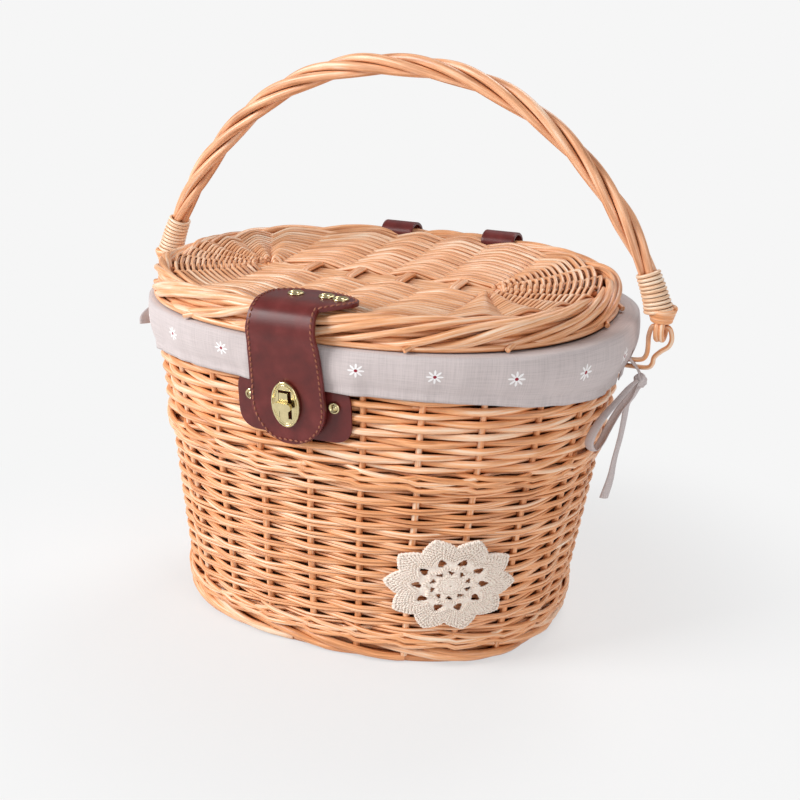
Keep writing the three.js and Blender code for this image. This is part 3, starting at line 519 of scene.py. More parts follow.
def material(name, roughness=0.5, metallic=0.0, colour=(0.5, 0.5, 0.5)):
    """A new material, its wiring and its Principled shader."""
    made = bpy.data.materials.new(name)
    made.use_nodes = True
    made.node_tree.nodes.clear()
    w = Wiring(made.node_tree, ends=False)
    shader = w.add("ShaderNodeBsdfPrincipled")
    shader.inputs["Roughness"].default_value = roughness
    shader.inputs["Metallic"].default_value = metallic
    shader.inputs["Base Color"].default_value = (*colour, 1)
    output = w.add("ShaderNodeOutputMaterial")
    w.link(shader.outputs[0], output.inputs["Surface"])
    made.diffuse_color = (*colour, 1)
    return made, w, shader


def bump(w, shader, height, strength, distance):
    """Raises a shader's surface by a height, without changing its mesh."""
    node = w.add("ShaderNodeBump", Strength=strength, Distance=distance, Height=height)
    w.link(w.out(node), shader.inputs["Normal"])


def object_place(w):
    """The place in the piece's own space, for patterns that run through it."""
    return w.add("ShaderNodeTexCoord").outputs["Object"]


def dimmed(colour, share, lift=0.0):
    """A colour times a share, and a little lift, with white as its limit."""
    return tuple(min(1, c * share + lift) for c in colour)


def tinted(colour, shares):
    """A colour with a share of its own for red, green and blue."""
    return tuple(c * share for c, share in zip(colour, shares))


WILLOW_PALE = 0.74
WILLOW_DARK = 0.40
TOWARDS_WHITE = (0.80, 0.90, 0.74)
TOWARDS_DARK = (1.15, 0.86, 0.66)


def tints(colour):
    """A pale, a middle and a dark tint of one colour."""
    light = tuple(c + (1 - c) * WILLOW_PALE * share for c, share in zip(colour, TOWARDS_WHITE))
    deep = tuple(c * WILLOW_DARK * share for c, share in zip(colour, TOWARDS_DARK))
    return light, colour, deep


# Painted shade between surfaces that lie close: how far it reaches, and its tones from the deepest gap to
# none
CREVICE_REACH = 0.0045
CREVICE_SHADE_TONES = ((0.0, (0.30, 0.085, 0.02)), (0.40, (0.88, 0.70, 0.53)), (0.74, (1.0, 1.0, 1.0)))


def crevice_shade_group():
    """Darkens a colour where another surface lies close by: painted shade in the gaps between woven rods."""
    tree = shader_group("Crevice Painted Shade", [
        ("Color", "NodeSocketColor", (0.8, 0.5, 0.3, 1)), ("Reach", "NodeSocketFloat", CREVICE_REACH)],
        [("Color", "NodeSocketColor")])
    w = Wiring(tree)
    near = w.add("ShaderNodeAmbientOcclusion", {"samples": 4}, Distance=w.given("Reach"))
    shadow = ramp(w, w.out(near, "AO"), CREVICE_SHADE_TONES)
    w.link(mix(w, 1.0, w.given("Color"), shadow, blend="MULTIPLY"), w.end.inputs["Color"])
    return tree


ROD_GRAIN = (1.6, 1.6, 30)
SOLID_GRAIN = (60, 60, 900)
ROD_JUMP = (37.0, 91.0, 53.0)
LEATHER_ROUGHNESS = 0.36


def willow_material(name, colour, rods_made=True):
    """Peeled willow. Woven rods carry their own grain; carried-over solids use the place in space."""
    made, w, shader = material(name, roughness=0.40, colour=colour)
    group = w.add("ShaderNodeGroup", {"node_tree": GROUPS["grain"]})
    if rods_made:
        source = w.add("ShaderNodeAttribute", {"attribute_name": "grain"})
        tone = w.add("ShaderNodeAttribute", {"attribute_name": "tone"}).outputs["Fac"]
        stretch = w.add("ShaderNodeMapping", Vector=source.outputs["Vector"])
        stretch.inputs["Scale"].default_value = ROD_GRAIN
        jump = w.add("ShaderNodeVectorMath", {"operation": "ADD"})
        w.link(w.out(stretch), jump.inputs[0])
        far = {axis: maths(w, "MULTIPLY", tone, size) for axis, size in zip("XYZ", ROD_JUMP)}
        shift = w.add("ShaderNodeCombineXYZ", **far)
        w.link(w.out(shift), jump.inputs[1])
        w.link(w.out(jump), group.inputs["Vector"])
        patch = w.add("ShaderNodeTexNoise", Vector=object_place(w), Scale=38.0, Detail=2.0)
        level = weighted(w, tone, 0.72, w.out(patch, 0), 0.55)
        w.link(maths(w, "SUBTRACT", level, 0.12, clamp=True), group.inputs["Tone"])
    else:
        stretch = w.add("ShaderNodeMapping", Vector=object_place(w))
        stretch.inputs["Scale"].default_value = SOLID_GRAIN
        w.link(w.out(stretch), group.inputs["Vector"])
        group.inputs["Tone"].default_value = 0.5
    for label, tint in zip(("Pale", "Middle", "Dark"), tints(colour)):
        group.inputs[label].default_value = (*tint, 1)
    # painted shade: the grain's colour is darkened where other surfaces lie close, as in the gaps between
    # rods
    painted_shade = w.add("ShaderNodeGroup", {"node_tree": GROUPS["crevice"]},
                  Color=group.outputs["Color"], Reach=CREVICE_REACH)
    w.link(painted_shade.outputs["Color"], shader.inputs["Base Color"])
    bump(w, shader, group.outputs["Height"], 0.35, 0.0006)
    shader.inputs["Specular IOR Level"].default_value = 0.75
    return made


def leather_material(name, colour):
    """Smooth finished leather: a fine pebbled grain, soft mottling and a faint gloss."""
    made, w, shader = material(name, roughness=LEATHER_ROUGHNESS, colour=colour)
    place = object_place(w)
    pebble = w.add("ShaderNodeTexVoronoi", Vector=place, Scale=1500.0)
    cloud = w.add("ShaderNodeTexNoise", Vector=place, Scale=90.0, Detail=4.0)
    tone = ramp(w, w.out(cloud, 0), [
        (0.3, dimmed(colour, 0.72)), (0.55, colour), (0.8, dimmed(colour, 1.35, lift=0.006))])
    w.link(tone, shader.inputs["Base Color"])
    rough = w.add("ShaderNodeMapRange", Value=w.out(cloud, 0),
                  To_Min=LEATHER_ROUGHNESS - 0.06, To_Max=LEATHER_ROUGHNESS + 0.12)
    w.link(w.out(rough), shader.inputs["Roughness"])
    height = weighted(w, w.out(pebble, "Distance"), 0.6, w.out(cloud, 0), 0.4)
    bump(w, shader, height, 0.22, 0.0003)
    shader.inputs["Specular IOR Level"].default_value = 0.36
    shader.inputs["Coat Weight"].default_value = 0.14
    shader.inputs["Coat Roughness"].default_value = 0.40
    return made


def brass_material(colour):
    """Polished pale brass with faint wipe marks."""
    made, w, shader = material("Brass", roughness=0.2, metallic=1.0, colour=colour)
    cloud = w.add("ShaderNodeTexNoise", Vector=object_place(w), Scale=260.0, Detail=5.0)
    rough = w.add("ShaderNodeMapRange", Value=w.out(cloud, 0), To_Min=0.12, To_Max=0.34)
    w.link(w.out(rough), shader.inputs["Roughness"])
    tone = ramp(w, w.out(cloud, 0), [(0.3, dimmed(colour, 0.82)), (0.7, colour)])
    w.link(tone, shader.inputs["Base Color"])
    bump(w, shader, w.out(cloud, 0), 0.08, 0.0002)
    return made


def thread_material(name, colour, scale=900.0, deep=0.6):
    """Twisted sewing thread, whose darkest fibres have the share deep of its colour."""
    made, w, shader = material(name, roughness=0.75, colour=colour)
    fibre = w.add("ShaderNodeTexNoise", Vector=object_place(w), Scale=scale, Detail=3.0)
    tone = ramp(w, w.out(fibre, 0), [(0.3, dimmed(colour, deep)), (0.7, dimmed(colour, 1.25))])
    w.link(tone, shader.inputs["Base Color"])
    bump(w, shader, w.out(fibre, 0), 0.4, 0.0003)
    return made


def cloth_weave_group():
    """A plain weave on a UV map in metres: thread height, and slubs that vary the thread's tone."""
    tree = shader_group("Cloth Weave", [
        ("Vector", "NodeSocketVector", None), ("Threads", "NodeSocketFloat", 1300.0)],
        [("Height", "NodeSocketFloat"), ("Slub", "NodeSocketFloat")])
    w = Wiring(tree)
    parts = w.add("ShaderNodeSeparateXYZ", Vector=w.given("Vector"))
    waves = []
    for axis in (0, 1):
        phase = maths(w, "MULTIPLY", maths(w, "MULTIPLY", w.out(parts, axis), w.given("Threads")), pi)
        waves.append(maths(w, "ABSOLUTE", maths(w, "SINE", phase)))
    height = maths(w, "MAXIMUM", *waves)
    w.link(height, w.end.inputs["Height"])
    slubs = []
    for scale in ((40, 1400, 1), (1400, 40, 1)):
        stretch = w.add("ShaderNodeMapping", Vector=w.given("Vector"))
        stretch.inputs["Scale"].default_value = scale
        noise = w.add("ShaderNodeTexNoise", {"noise_dimensions": "2D"},
                      Vector=w.out(stretch), Scale=1.0, Detail=2.0)
        slubs.append(w.out(noise, 0))
    w.link(maths(w, "MULTIPLY", maths(w, "ADD", *slubs), 0.5), w.end.inputs["Slub"])
    return tree


def daisy_group():
    """Small eight-petalled daisies set in rows. Puts out a mask for the petals and one for the centres."""
    tree = shader_group("Daisies", [
        ("Vector", "NodeSocketVector", None), ("Spacing", "NodeSocketFloat", 0.034),
        ("Size", "NodeSocketFloat", 0.0052)],
        [("Petals", "NodeSocketFloat"), ("Centres", "NodeSocketFloat")])
    w = Wiring(tree)
    per_metre = maths(w, "DIVIDE", 1.0, w.given("Spacing"))
    scaled = w.add("ShaderNodeVectorMath", {"operation": "SCALE"})
    w.link(w.given("Vector"), scaled.inputs[0])
    w.link(per_metre, scaled.inputs["Scale"])
    cells = w.add("ShaderNodeTexVoronoi", {"voronoi_dimensions": "2D"},
                  Vector=w.out(scaled), Scale=1.0, Randomness=0.0)
    away = w.add("ShaderNodeVectorMath", {"operation": "SUBTRACT"})
    w.link(w.out(scaled), away.inputs[0])
    w.link(w.out(cells, "Position"), away.inputs[1])
    parts = w.add("ShaderNodeSeparateXYZ", Vector=w.out(away))
    angle = maths(w, "ARCTAN2", w.out(parts, 1), w.out(parts, 0))
    reach = maths(w, "MULTIPLY", w.out(cells, "Distance"), w.given("Spacing"))
    lobe = maths(w, "ABSOLUTE", maths(w, "COSINE", maths(w, "MULTIPLY", angle, 4.0)))
    outline = maths(w, "ADD", maths(w, "MULTIPLY", maths(w, "POWER", lobe, 1.6), 0.75), 0.25)
    edge = maths(w, "MULTIPLY", w.given("Size"), outline)
    petals = maths(w, "LESS_THAN", reach, edge)
    centres = maths(w, "LESS_THAN", reach, maths(w, "MULTIPLY", w.given("Size"), 0.22))
    w.link(petals, w.end.inputs["Petals"])
    w.link(centres, w.end.inputs["Centres"])
    return tree


THREADS_PER_METRE = 1100.0
DAISY_PETALS = (0.95, 0.93, 0.93)
DAISY_CENTRES = (0.30, 0.02, 0.04)


def linen_material(name, colour, daisies=True):
    """Plain woven linen on a UV map in metres, with painted shade in the valleys of its weave, printed with
    daisies where they are asked for.
    """
    made, w, shader = material(name, roughness=0.92, colour=colour)
    uv = w.add("ShaderNodeUVMap", {"uv_map": "UVMap"})
    weave = w.add("ShaderNodeGroup", {"node_tree": GROUPS["cloth"]})
    weave.inputs["Threads"].default_value = THREADS_PER_METRE
    w.link(w.out(uv), weave.inputs["Vector"])
    base = ramp(w, weave.outputs["Slub"], [
        (0.36, dimmed(colour, 0.90)), (0.5, colour), (0.64, dimmed(colour, 1.06))])
    # painted shade: the colour is darkened where the thread height is low, between the threads
    valley_shade = maths(w, "ADD", maths(w, "MULTIPLY", weave.outputs["Height"], 0.3), 0.7, clamp=True)
    colour_out = mix(w, valley_shade, dimmed(colour, 0.7), base)
    if daisies:
        group = w.add("ShaderNodeGroup", {"node_tree": GROUPS["daisy"]})
        first = WALL.share_of(DAISY_AT_X, z=LINER_TOP - DAISY_DROP) * WALL.perimeter
        moved = w.add("ShaderNodeVectorMath", {"operation": "SUBTRACT"})
        w.link(w.out(uv), moved.inputs[0])
        moved.inputs[1].default_value = (first, DAISY_DROP, 0)
        w.link(w.out(moved), group.inputs["Vector"])
        group.inputs["Spacing"].default_value = WALL.perimeter / DAISIES_ROUND
        printed = maths(w, "MULTIPLY", group.outputs["Petals"], 0.85)
        petals = mix(w, printed, colour_out, DAISY_PETALS)
        colour_out = mix(w, group.outputs["Centres"], petals, DAISY_CENTRES)
    w.link(colour_out, shader.inputs["Base Color"])
    bump(w, shader, weave.outputs["Height"], 0.35, 0.0003)
    shader.inputs["Sheen Weight"].default_value = 0.15
    shader.inputs["Specular IOR Level"].default_value = 0.2
    return made


TREES = {}
GROUPS = {}
LOOKS = {}


WILLOW_LOOKS = (
    ("weavers", "Willow Weavers", (1.0, 1.0, 1.0)),
    ("stakes", "Willow Stakes", (0.96, 0.93, 0.90)),
    ("lid rods", "Willow Lid", (0.90, 0.99, 1.16)),
    ("lid plait", "Willow Lid Border", (0.95, 1.0, 1.10)),
    ("handle rods", "Willow Handle", (0.98, 1.08, 1.35)),
)
CANE_COLOUR = (0.84, 0.51, 0.30)
# A near-black brown that stands for the shade behind the woven wall: painted shade
SHADE_BEHIND_WEAVE_COLOUR = (0.105, 0.034, 0.012)


def make_looks():
    """Makes the node groups and every material of the basket."""
    scene = bpy.context.scene
    willow = tuple(scene.basket_weave.willow)
    linen = tuple(scene.basket_soft.linen)
    cotton = tuple(scene.basket_soft.cotton)
    TREES["rods"] = rod_tree()
    TREES["stitches"] = stitch_tree()
    GROUPS["grain"] = grain_group()
    GROUPS["crevice"] = crevice_shade_group()
    GROUPS["cloth"] = cloth_weave_group()
    GROUPS["daisy"] = daisy_group()
    for look, name, shares in WILLOW_LOOKS:
        LOOKS[look] = willow_material(name, tinted(willow, shares))
    LOOKS["cane"] = willow_material("Pale Cane", CANE_COLOUR)
    # painted shade: a dark linen look for the bag's outer side, where it shows between the willow
    LOOKS["backing"] = linen_material("Linen Painted Shade", SHADE_BEHIND_WEAVE_COLOUR, daisies=False)
    LOOKS["solid willow"] = willow_material("Willow Solid", willow, rods_made=False)
    LOOKS["leather"] = leather_material("Leather", tuple(scene.basket_trim.leather))
    LOOKS["thread"] = thread_material("Sewing Thread", tuple(scene.basket_trim.thread))
    LOOKS["brass"] = brass_material(tuple(scene.basket_trim.brass))
    LOOKS["linen"] = linen_material("Linen", linen)
    LOOKS["ribbon"] = linen_material("Linen Ribbon", linen, daisies=False)
    LOOKS["cotton"] = thread_material("Crochet Cotton", cotton, scale=1400.0, deep=0.86)


# Weaving

WALL_MIDDLE = -0.0036
TUCK = 0.0012


def swing(turns):
    """A weaver's swing from stake to stake: nearly straight between them and rounded over them."""
    return np.arcsin(0.96 * np.cos(pi * turns)) / asin(0.96)


def course(z, phase, radius, reach, rng, steps, pieces):
    """One round of weaving, made of a few tapering rods whose ends are tucked behind stakes."""
    starts = np.sort(rng.choice(RING_STAKES // 2, pieces, replace=False)) * 2 + phase + 1
    drift = wander(rng, 0.0004)
    lines, radii = [], []
    for k, start in enumerate(starts):
        end = starts[(k + 1) % pieces] + (RING_STAKES if k + 1 == pieces else 0)
        turns = np.linspace(start - 0.35, end + 0.35, int((end - start + 0.7) * steps) + 1)
        share = turns / RING_STAKES
        part = (turns - turns[0]) / (turns[-1] - turns[0])
        from_start, from_end = turns - turns[0], turns[-1] - turns
        tuck = TUCK * (np.clip(1 - from_start / 0.4, 0, 1) + np.clip(1 - from_end / 0.4, 0, 1))
        fat = np.interp(part, [0, 0.2, 1], [1.08, 1.12, 0.82]) * rng.uniform(0.94, 1.05)
        bend = swing(turns + phase)
        lift = rng.uniform(-0.0002, 0.0002) + 0.00025 * np.sin(turns * 2.1 + rng.uniform(0, 6))
        height = z + drift(share) + lift
        lines.append((WALL.points(share, height, WALL_MIDDLE + reach * bend - tuck), False))
        radii.append(radius * fat)
    return lines, radii


def wander(rng, size):
    """A gentle random wave round the basket, so that no course lies dead level."""
    a = rng.uniform(-1, 1, 4)
    p = rng.uniform(0, 2 * pi, 4)

    def wave(share):
        return size * sum(a[k] * np.sin(2 * pi * (k + 2) * share + p[k]) for k in range(4)) / 2
    return wave


def thickness_wave(rng, radius, count, amount=0.12):
    """Radii that swell and shrink gently along a rod."""
    share = shares_round(count)
    p = rng.uniform(0, 2 * pi, 3)
    wave = (np.sin(2 * pi * 2 * share + p[0]) + np.sin(2 * pi * 5 * share + p[1])
            + 0.6 * np.sin(2 * pi * 11 * share + p[2]))
    return radius * (1 + amount * wave / 2)


class BASKET_OT_upper_wall(bpy.types.Operator):
    """Weaves the thick courses above the waling"""
    bl_idname = "basket.upper_wall"
    bl_label = "Weave the Upper Wall"

    def execute(self, context):
        weave = context.scene.basket_weave
        rng = np.random.default_rng(11)
        low, high = WALE_HIGH + weave.thick_rod, RIM_TOP - 0.012
        courses = int((high - low) / weave.thick_pitch)
        lines, radii = [], []
        for k in range(courses + 1):
            z = low + weave.thick_pitch * k
            made, sizes = course(z, k % 2, weave.thick_rod, weave.reach, rng, steps=8, pieces=4)
            lines += made
            radii += sizes
        piece = rods("weave_upper", lines, radii, LOOKS["weavers"], sides=8, seed=3)
        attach(piece, "basket")
        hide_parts("wall_upper")
        return {"FINISHED"}


class BASKET_OT_lower_wall(bpy.types.Operator):
    """Weaves the paired thin courses between the foot and the waling"""
    bl_idname = "basket.lower_wall"
    bl_label = "Weave the Lower Wall"

    def execute(self, context):
        weave = context.scene.basket_weave
        rng = np.random.default_rng(23)
        low, high = FOOT_TOP + 0.0122, WALE_LOW - weave.thin_rod
        courses = int((high - low) / weave.thin_pitch)
        lines, radii = [], []
        for k in range(courses + 1):
            for half in (-0.5, 0.5):
                z = low + weave.thin_pitch * k + half * weave.thin_rod * 1.8
                made, sizes = course(z, k % 2, weave.thin_rod, weave.reach, rng, steps=7, pieces=3)
                lines += made
                radii += sizes
        piece = rods("weave_lower", lines, radii, LOOKS["weavers"], sides=8, seed=5)
        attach(piece, "basket")
        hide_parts("wall_lower")
        return {"FINISHED"}


WALE_STRANDS = 3
WALE_CYCLE = 3
WALE_REACH = 0.0044
WALE_RISE = 0.0022
WALE_STEPS = 6
WALE_APART = 0.0024
FOOT_WALES = ((FOOT_TOP + 0.0048, 0.0018), (FOOT_TOP + 0.0090, 0.0017))


def wale_lines(z):
    """Waling: each strand passes outside two stakes, then inside one, and climbs as it goes."""
    share = shares_round(RING_STAKES * WALE_STEPS)
    lines = []
    for k in range(WALE_STRANDS):
        phase = (share * RING_STAKES + k * WALE_CYCLE / WALE_STRANDS) / WALE_CYCLE
        part = phase - np.floor(phase)
        inside = np.exp(-(((part - 0.5) * WALE_CYCLE / 0.42) ** 2))
        out = WALL_MIDDLE + WALE_REACH * (1 - 1.75 * inside)
        height = z - WALE_RISE * np.cos(2 * pi * part) + WALE_RISE * (part - 0.5)
        lines.append((WALL.points(share, height, out), True))
    return lines


class BASKET_OT_waling(bpy.types.Operator):
    """Twists the waling bands that part the two zones and stand above the foot"""
    bl_idname = "basket.waling"
    bl_label = "Twist the Waling"

    def execute(self, context):
        rng = np.random.default_rng(31)
        lines, radii = [], []
        middle_z = (WALE_LOW + WALE_HIGH) / 2
        bands = ((middle_z - WALE_APART, 0.0018), (middle_z + WALE_APART, 0.0019), *FOOT_WALES)
        for z, radius in bands:
            made = wale_lines(z)
            lines += made
            radii += [thickness_wave(rng, radius, len(line)) for line, _ in made]
        piece = rods("waling", lines, radii, LOOKS["weavers"], sides=8, seed=7)
        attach(piece, "basket")
        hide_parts("wall_wale")
        return {"FINISHED"}


class BASKET_OT_stakes(bpy.types.Operator):
    """Stands the stakes in the middle of the wall"""
    bl_idname = "basket.stakes"
    bl_label = "Stand the Stakes"

    def execute(self, context):
        weave = context.scene.basket_weave
        rng = np.random.default_rng(41)
        lines, radii = [], []
        z = np.linspace(0.006, RIM_TOP - 0.010, 24)
        for k in range(RING_STAKES):
            sway = 0.0006 * np.sin(z * 60 + rng.uniform(0, 6))
            share = k / RING_STAKES + sway / WALL.perimeter
            lines.append((WALL.points(share, z, WALL_MIDDLE), False))
            radii.append(np.linspace(weave.stake_radius * 1.06, weave.stake_radius * 0.92, len(z)))
        piece = rods("stakes", lines, radii, LOOKS["stakes"], sides=10, seed=9)
        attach(piece, "basket")
        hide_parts("stake_frame")
        return {"FINISHED"}


def border_lines(ring, count, span, first, last, half_height, half_depth, middle_z, middle_out,
                 steps, rng, stray):
    """A plaited border: each rod climbs through the section of the ring while it runs along it.
    first and last are the angles, in the border's section, between which a rod travels. Each rod starts up
    to the share stray of a step out of its place, and snakes by up to a sixth of that in its section."""
    lines = []
    for k in range(count):
        t = np.linspace(0, 1, steps)
        late, snake, deep = rng.uniform(-1, 1, 3) * stray
        share = (k + late + span * t) / count
        angle = first + (last - first) * t + snake * np.sin(3.2 * pi * t + 4 * late) * 0.55
        out = middle_out + half_depth * (1 + 0.22 * deep * np.sin(5 * pi * t)) * np.cos(angle)
        z = middle_z + half_height * (1 + 0.12 * snake * np.sin(4 * pi * t)) * np.sin(angle)
        lines.append((ring(share, z, out), False))
    return lines


FOOT_STRAY = 0.35
FOOT_ROD = 0.0029
FOOT_CORES = ((0.0028, -0.0062), (0.0075, -0.0098), (0.0028, -0.0112))


class BASKET_OT_foot(bpy.types.Operator):
    """Plaits the border that the basket stands on"""
    bl_idname = "basket.foot"
    bl_label = "Plait the Foot"

    def execute(self, context):
        rng = np.random.default_rng(51)
        lines = border_lines(WALL.points, 19, 2.9, radians(150), radians(-75), 0.0043, 0.0062,
                             0.0076, -0.0066, steps=24, rng=rng, stray=FOOT_STRAY)
        radii = [thickness_wave(rng, FOOT_ROD, len(line), 0.08) for line, _ in lines]
        inner = [(WALL.points(shares_round(120), z, out), True) for z, out in FOOT_CORES]
        lines += inner
        radii += [np.full(120, FOOT_ROD) for _ in inner]
        piece = rods("foot_plait", lines, radii, LOOKS["weavers"], sides=8, seed=13)
        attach(piece, "basket")
        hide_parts("foot_border")
        return {"FINISHED"}


BASE_ROD = 0.0016
BASE_ROUNDS = 25
BASE_SPOKES = 36
BASE_SPINE = 0.050
BASE_EDGE = -0.0122


class BASKET_OT_base(bpy.types.Operator):
    """Weaves the oval base in rounds over a fan of base sticks"""
    bl_idname = "basket.base"
    bl_label = "Weave the Base"

    def execute(self, context):
        low, high = (Vector(v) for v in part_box("base_panel"))
        middle_z = (low.z + high.z) / 2
        reach = (high.z - low.z) / 2 - BASE_ROD
        shares = shares_round(BASE_SPOKES * 6)
        edge = WALL.points(shares, middle_z, BASE_EDGE)[:, :2]
        middle_x = (low.x + high.x) / 2
        core_x = np.clip(edge[:, 0], middle_x - BASE_SPINE, middle_x + BASE_SPINE)
        core = np.column_stack([core_x, 0 * shares])
        lines, radii = [], []
        for k in range(BASE_ROUNDS):
            t = (k + 0.5) / BASE_ROUNDS
            z = middle_z + reach * swing(shares * BASE_SPOKES + k)
            lines.append((np.column_stack([core + (edge - core) * t, z]), True))
            radii.append(np.full(len(shares), BASE_ROD))
        for k in range(0, len(shares), 6):
            lines.append((np.column_stack([[core[k], edge[k]], [middle_z] * 2]), False))
            radii.append(np.full(2, BASE_ROD * 0.9))
        ends = np.array([[middle_x - BASE_SPINE, 0, middle_z], [middle_x + BASE_SPINE, 0, middle_z]])
        lines.append((ends, False))
        radii.append(np.full(2, BASE_ROD * 1.4))
        piece = rods("base_weave", lines, radii, LOOKS["weavers"], sides=6, seed=47)
        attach(piece, "basket")
        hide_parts("base_panel")
        return {"FINISHED"}


# Lid

def lid_points(share, z, out):
    """Points round the lid by share of its perimeter, at a height and a distance outside its edge."""
    share, z, out = np.broadcast_arrays(
        np.asarray(share, float), np.asarray(z, float), np.asarray(out, float))
    angles = np.linspace(-pi / 2, 1.5 * pi, 3001)
    x, y = Wall.oval(angles, LID_HALF.x, LID_HALF.y, LID_EXPONENT)
    length = running_length(np.hypot(np.diff(x), np.diff(y)))
    angle = np.interp(np.mod(share, 1.0), length / length[-1], angles)
    x, y = Wall.oval(angle, LID_HALF.x + out, LID_HALF.y + out, LID_EXPONENT)
    return np.stack([x + LID_CENTRE.x, y + LID_CENTRE.y, z], axis=-1)


LID_BORDER = 0.014
BORDER_STRAY = 0.6
BORDER_HALF_DEPTH = 0.0054
BORDER_CORE_ROD = 0.0034
CUT_ENDS = 15
CUT_END_SPAN = 0.013
SPINE_LEFT = -0.085
SPINE_RIGHT = 0.080
SPINE_Y = -0.004
SPINE_HALF = 0.0115
CROSS_STICKS = (-0.053, -0.0175, 0.020, 0.060)
FAN_STICKS = 8
FAN_SPREAD = radians(70)
LID_EDGE_MIDDLE = LID_HIGH.z - 0.0062
LID_DIP = 0.0062
LID_SWELL = 0.0042


def lid_height(inward):
    """The height of the middle of the weave, at a share of the way from the spine (0) to the border (1)."""
    return LID_EDGE_MIDDLE - LID_DIP * (1 - np.asarray(inward) ** 2.2)


def spine_core(edge):
    """The nearest point of the spine's line to points of the lid's edge."""
    ends = np.clip(edge[..., 0], SPINE_LEFT, SPINE_RIGHT)
    return np.stack([ends, np.full_like(ends, SPINE_Y)], axis=-1)


def lid_ring(t, shares):
    """Points between the spine (t = 0) and the border (t = 1), at shares of the lid's perimeter."""
    edge = lid_points(shares, 0, -LID_BORDER - 0.0005)[..., :2]
    core = spine_core(edge)
    away = edge - core
    start = core + away / np.linalg.norm(away, axis=-1, keepdims=True) * (SPINE_HALF + 0.001)
    return start + (edge - start) * np.broadcast_to(np.asarray(t)[..., None], start.shape)


def share_where(test):
    """The share of the lid's perimeter at which a test of its edge points is smallest."""
    fine = shares_round(6000)
    return float(fine[np.argmin(test(lid_points(fine, 0, -LID_BORDER)[..., :2]))])


def fan_aims():
    """Where each fan of sticks starts, and the directions that its sticks take."""
    for centre, turn in ((SPINE_RIGHT, 0.0), (SPINE_LEFT, pi)):
        for angle in np.linspace(-FAN_SPREAD, FAN_SPREAD, FAN_STICKS):
            yield np.array([centre, SPINE_Y]), np.array([cos(turn + angle), sin(turn + angle)])


OTHER_SIDE = 9.0
LID_STEPS = 336


def lid_stick_shares():
    """Where each stick meets the border, in order round the lid."""
    found = []
    for x in CROSS_STICKS:
        for side in (-1, 1):
            found.append(share_where(
                lambda e: np.abs(e[:, 0] - x) + OTHER_SIDE * (np.sign(e[:, 1]) != side)))
    for start, aim in fan_aims():
        found.append(share_where(lambda e: -((e - start) @ aim) / np.linalg.norm(e - start, axis=1)))
    return np.sort(np.array(found))


class BASKET_OT_lid_weave(bpy.types.Operator):
    """Weaves the lid's dished panel in rounds of paired rods"""
    bl_idname = "basket.lid_weave"
    bl_label = "Weave the Lid"

    def execute(self, context):
        lid = context.scene.basket_lid
        rng = np.random.default_rng(61)
        sticks = lid_stick_shares()
        shares = shares_round(LID_STEPS)
        turns = np.interp(shares, np.concatenate([[sticks[-1] - 1], sticks, [sticks[0] + 1]]),
                          np.arange(-1, len(sticks) + 1))
        edge = lid_points(shares, 0, -LID_BORDER)[..., :2]
        depth = np.linalg.norm(edge - spine_core(edge), axis=-1) - SPINE_HALF
        pitch = depth / lid.rings
        broad = np.clip((pitch - 0.0024) / 0.0009, 0, 1)
        radius = np.clip(pitch * 0.62, 0.0013, lid.rod)
        for parity, name in ((0, "lid_weave_over"), (1, "lid_weave_under")):
            lines, radii = [], []
            for k in range(parity, lid.rings, 2):
                wave = swing(turns + k)
                spread = np.abs(wave) ** 0.6 * (0.30 + 0.47 * broad)
                for side in (-1, 1):
                    t = (k + 0.5 + side * spread * radius / pitch) / lid.rings
                    flat = lid_ring(np.clip(t, 0.002, 0.998), shares)
                    rise = side * radius * 0.9 * np.sqrt(np.clip(1 - spread ** 2, 0, 1))
                    drift = wander(rng, 0.00025)(shares)
                    z = lid_height(np.clip(t, 0, 1)) + LID_SWELL * wave + rise + drift
                    lines.append((np.column_stack([flat, z]), True))
                    radii.append(radius * (1 + 0.08 * np.sin(2 * pi * 3 * shares + rng.uniform(0, 6))))
            piece = rods(name, lines, radii, LOOKS["lid rods"], sides=6, seed=17 + parity)
            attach(piece, "lid")
            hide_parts("lid_panel")
        return {"FINISHED"}


class BASKET_OT_lid_sticks(bpy.types.Operator):
    """Lays the pairs of cross sticks over the spine and the fans of sticks at its two ends"""
    bl_idname = "basket.lid_sticks"
    bl_label = "Lay the Cross Sticks"

    def execute(self, context):
        lid = context.scene.basket_lid
        lines, radii = [], []
        for x in CROSS_STICKS:
            for offset in (-1, 1):
                across = np.linspace(-1, 1, 61)
                aside = abs((x - LID_CENTRE.x) / LID_HALF.x)
                edge_y = (LID_HALF.y - LID_BORDER) * (1 - aside ** LID_EXPONENT) ** (1 / LID_EXPONENT)
                y = LID_CENTRE.y + across * edge_y
                inward = np.clip((np.abs(y - SPINE_Y) - SPINE_HALF) / (edge_y - SPINE_HALF), 0, 1)
                hump = 0.0048 * np.exp(-((y - SPINE_Y) / 0.0190) ** 6)
                lean = x - 0.06 * (y - SPINE_Y) + offset * lid.stick * 0.78
                lines.append((np.column_stack([lean, y, lid_height(inward) + hump]), False))
                radii.append(np.full(61, lid.stick))
        for start, aim in fan_aims():
            reach = self.reach(start, aim)
            steps = np.linspace(0, 1, 14)
            flat = start + aim * (reach * steps)[:, None]
            lines.append((np.column_stack([flat, lid_height(steps)]), False))
            radii.append(np.full(14, lid.stick * 1.1))
        piece = rods("lid_sticks", lines, radii, LOOKS["stakes"], sides=10, seed=19)
        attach(piece, "lid")
        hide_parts(*[f"lid_cross_stick_{k}" for k in range(1, 7)])
        return {"FINISHED"}

    @staticmethod
    def reach(start, aim):
        """How far a fan stick runs before it meets the border."""
        distance = np.linspace(0.01, 0.2, 800)
        p = start + aim * distance[:, None] - np.array([LID_CENTRE.x, LID_CENTRE.y])
        a, b = LID_HALF.x - LID_BORDER, LID_HALF.y - LID_BORDER
        outside = (np.abs(p[:, 0]) / a) ** LID_EXPONENT + (np.abs(p[:, 1]) / b) ** LID_EXPONENT > 1
        return float(distance[np.argmax(outside)])


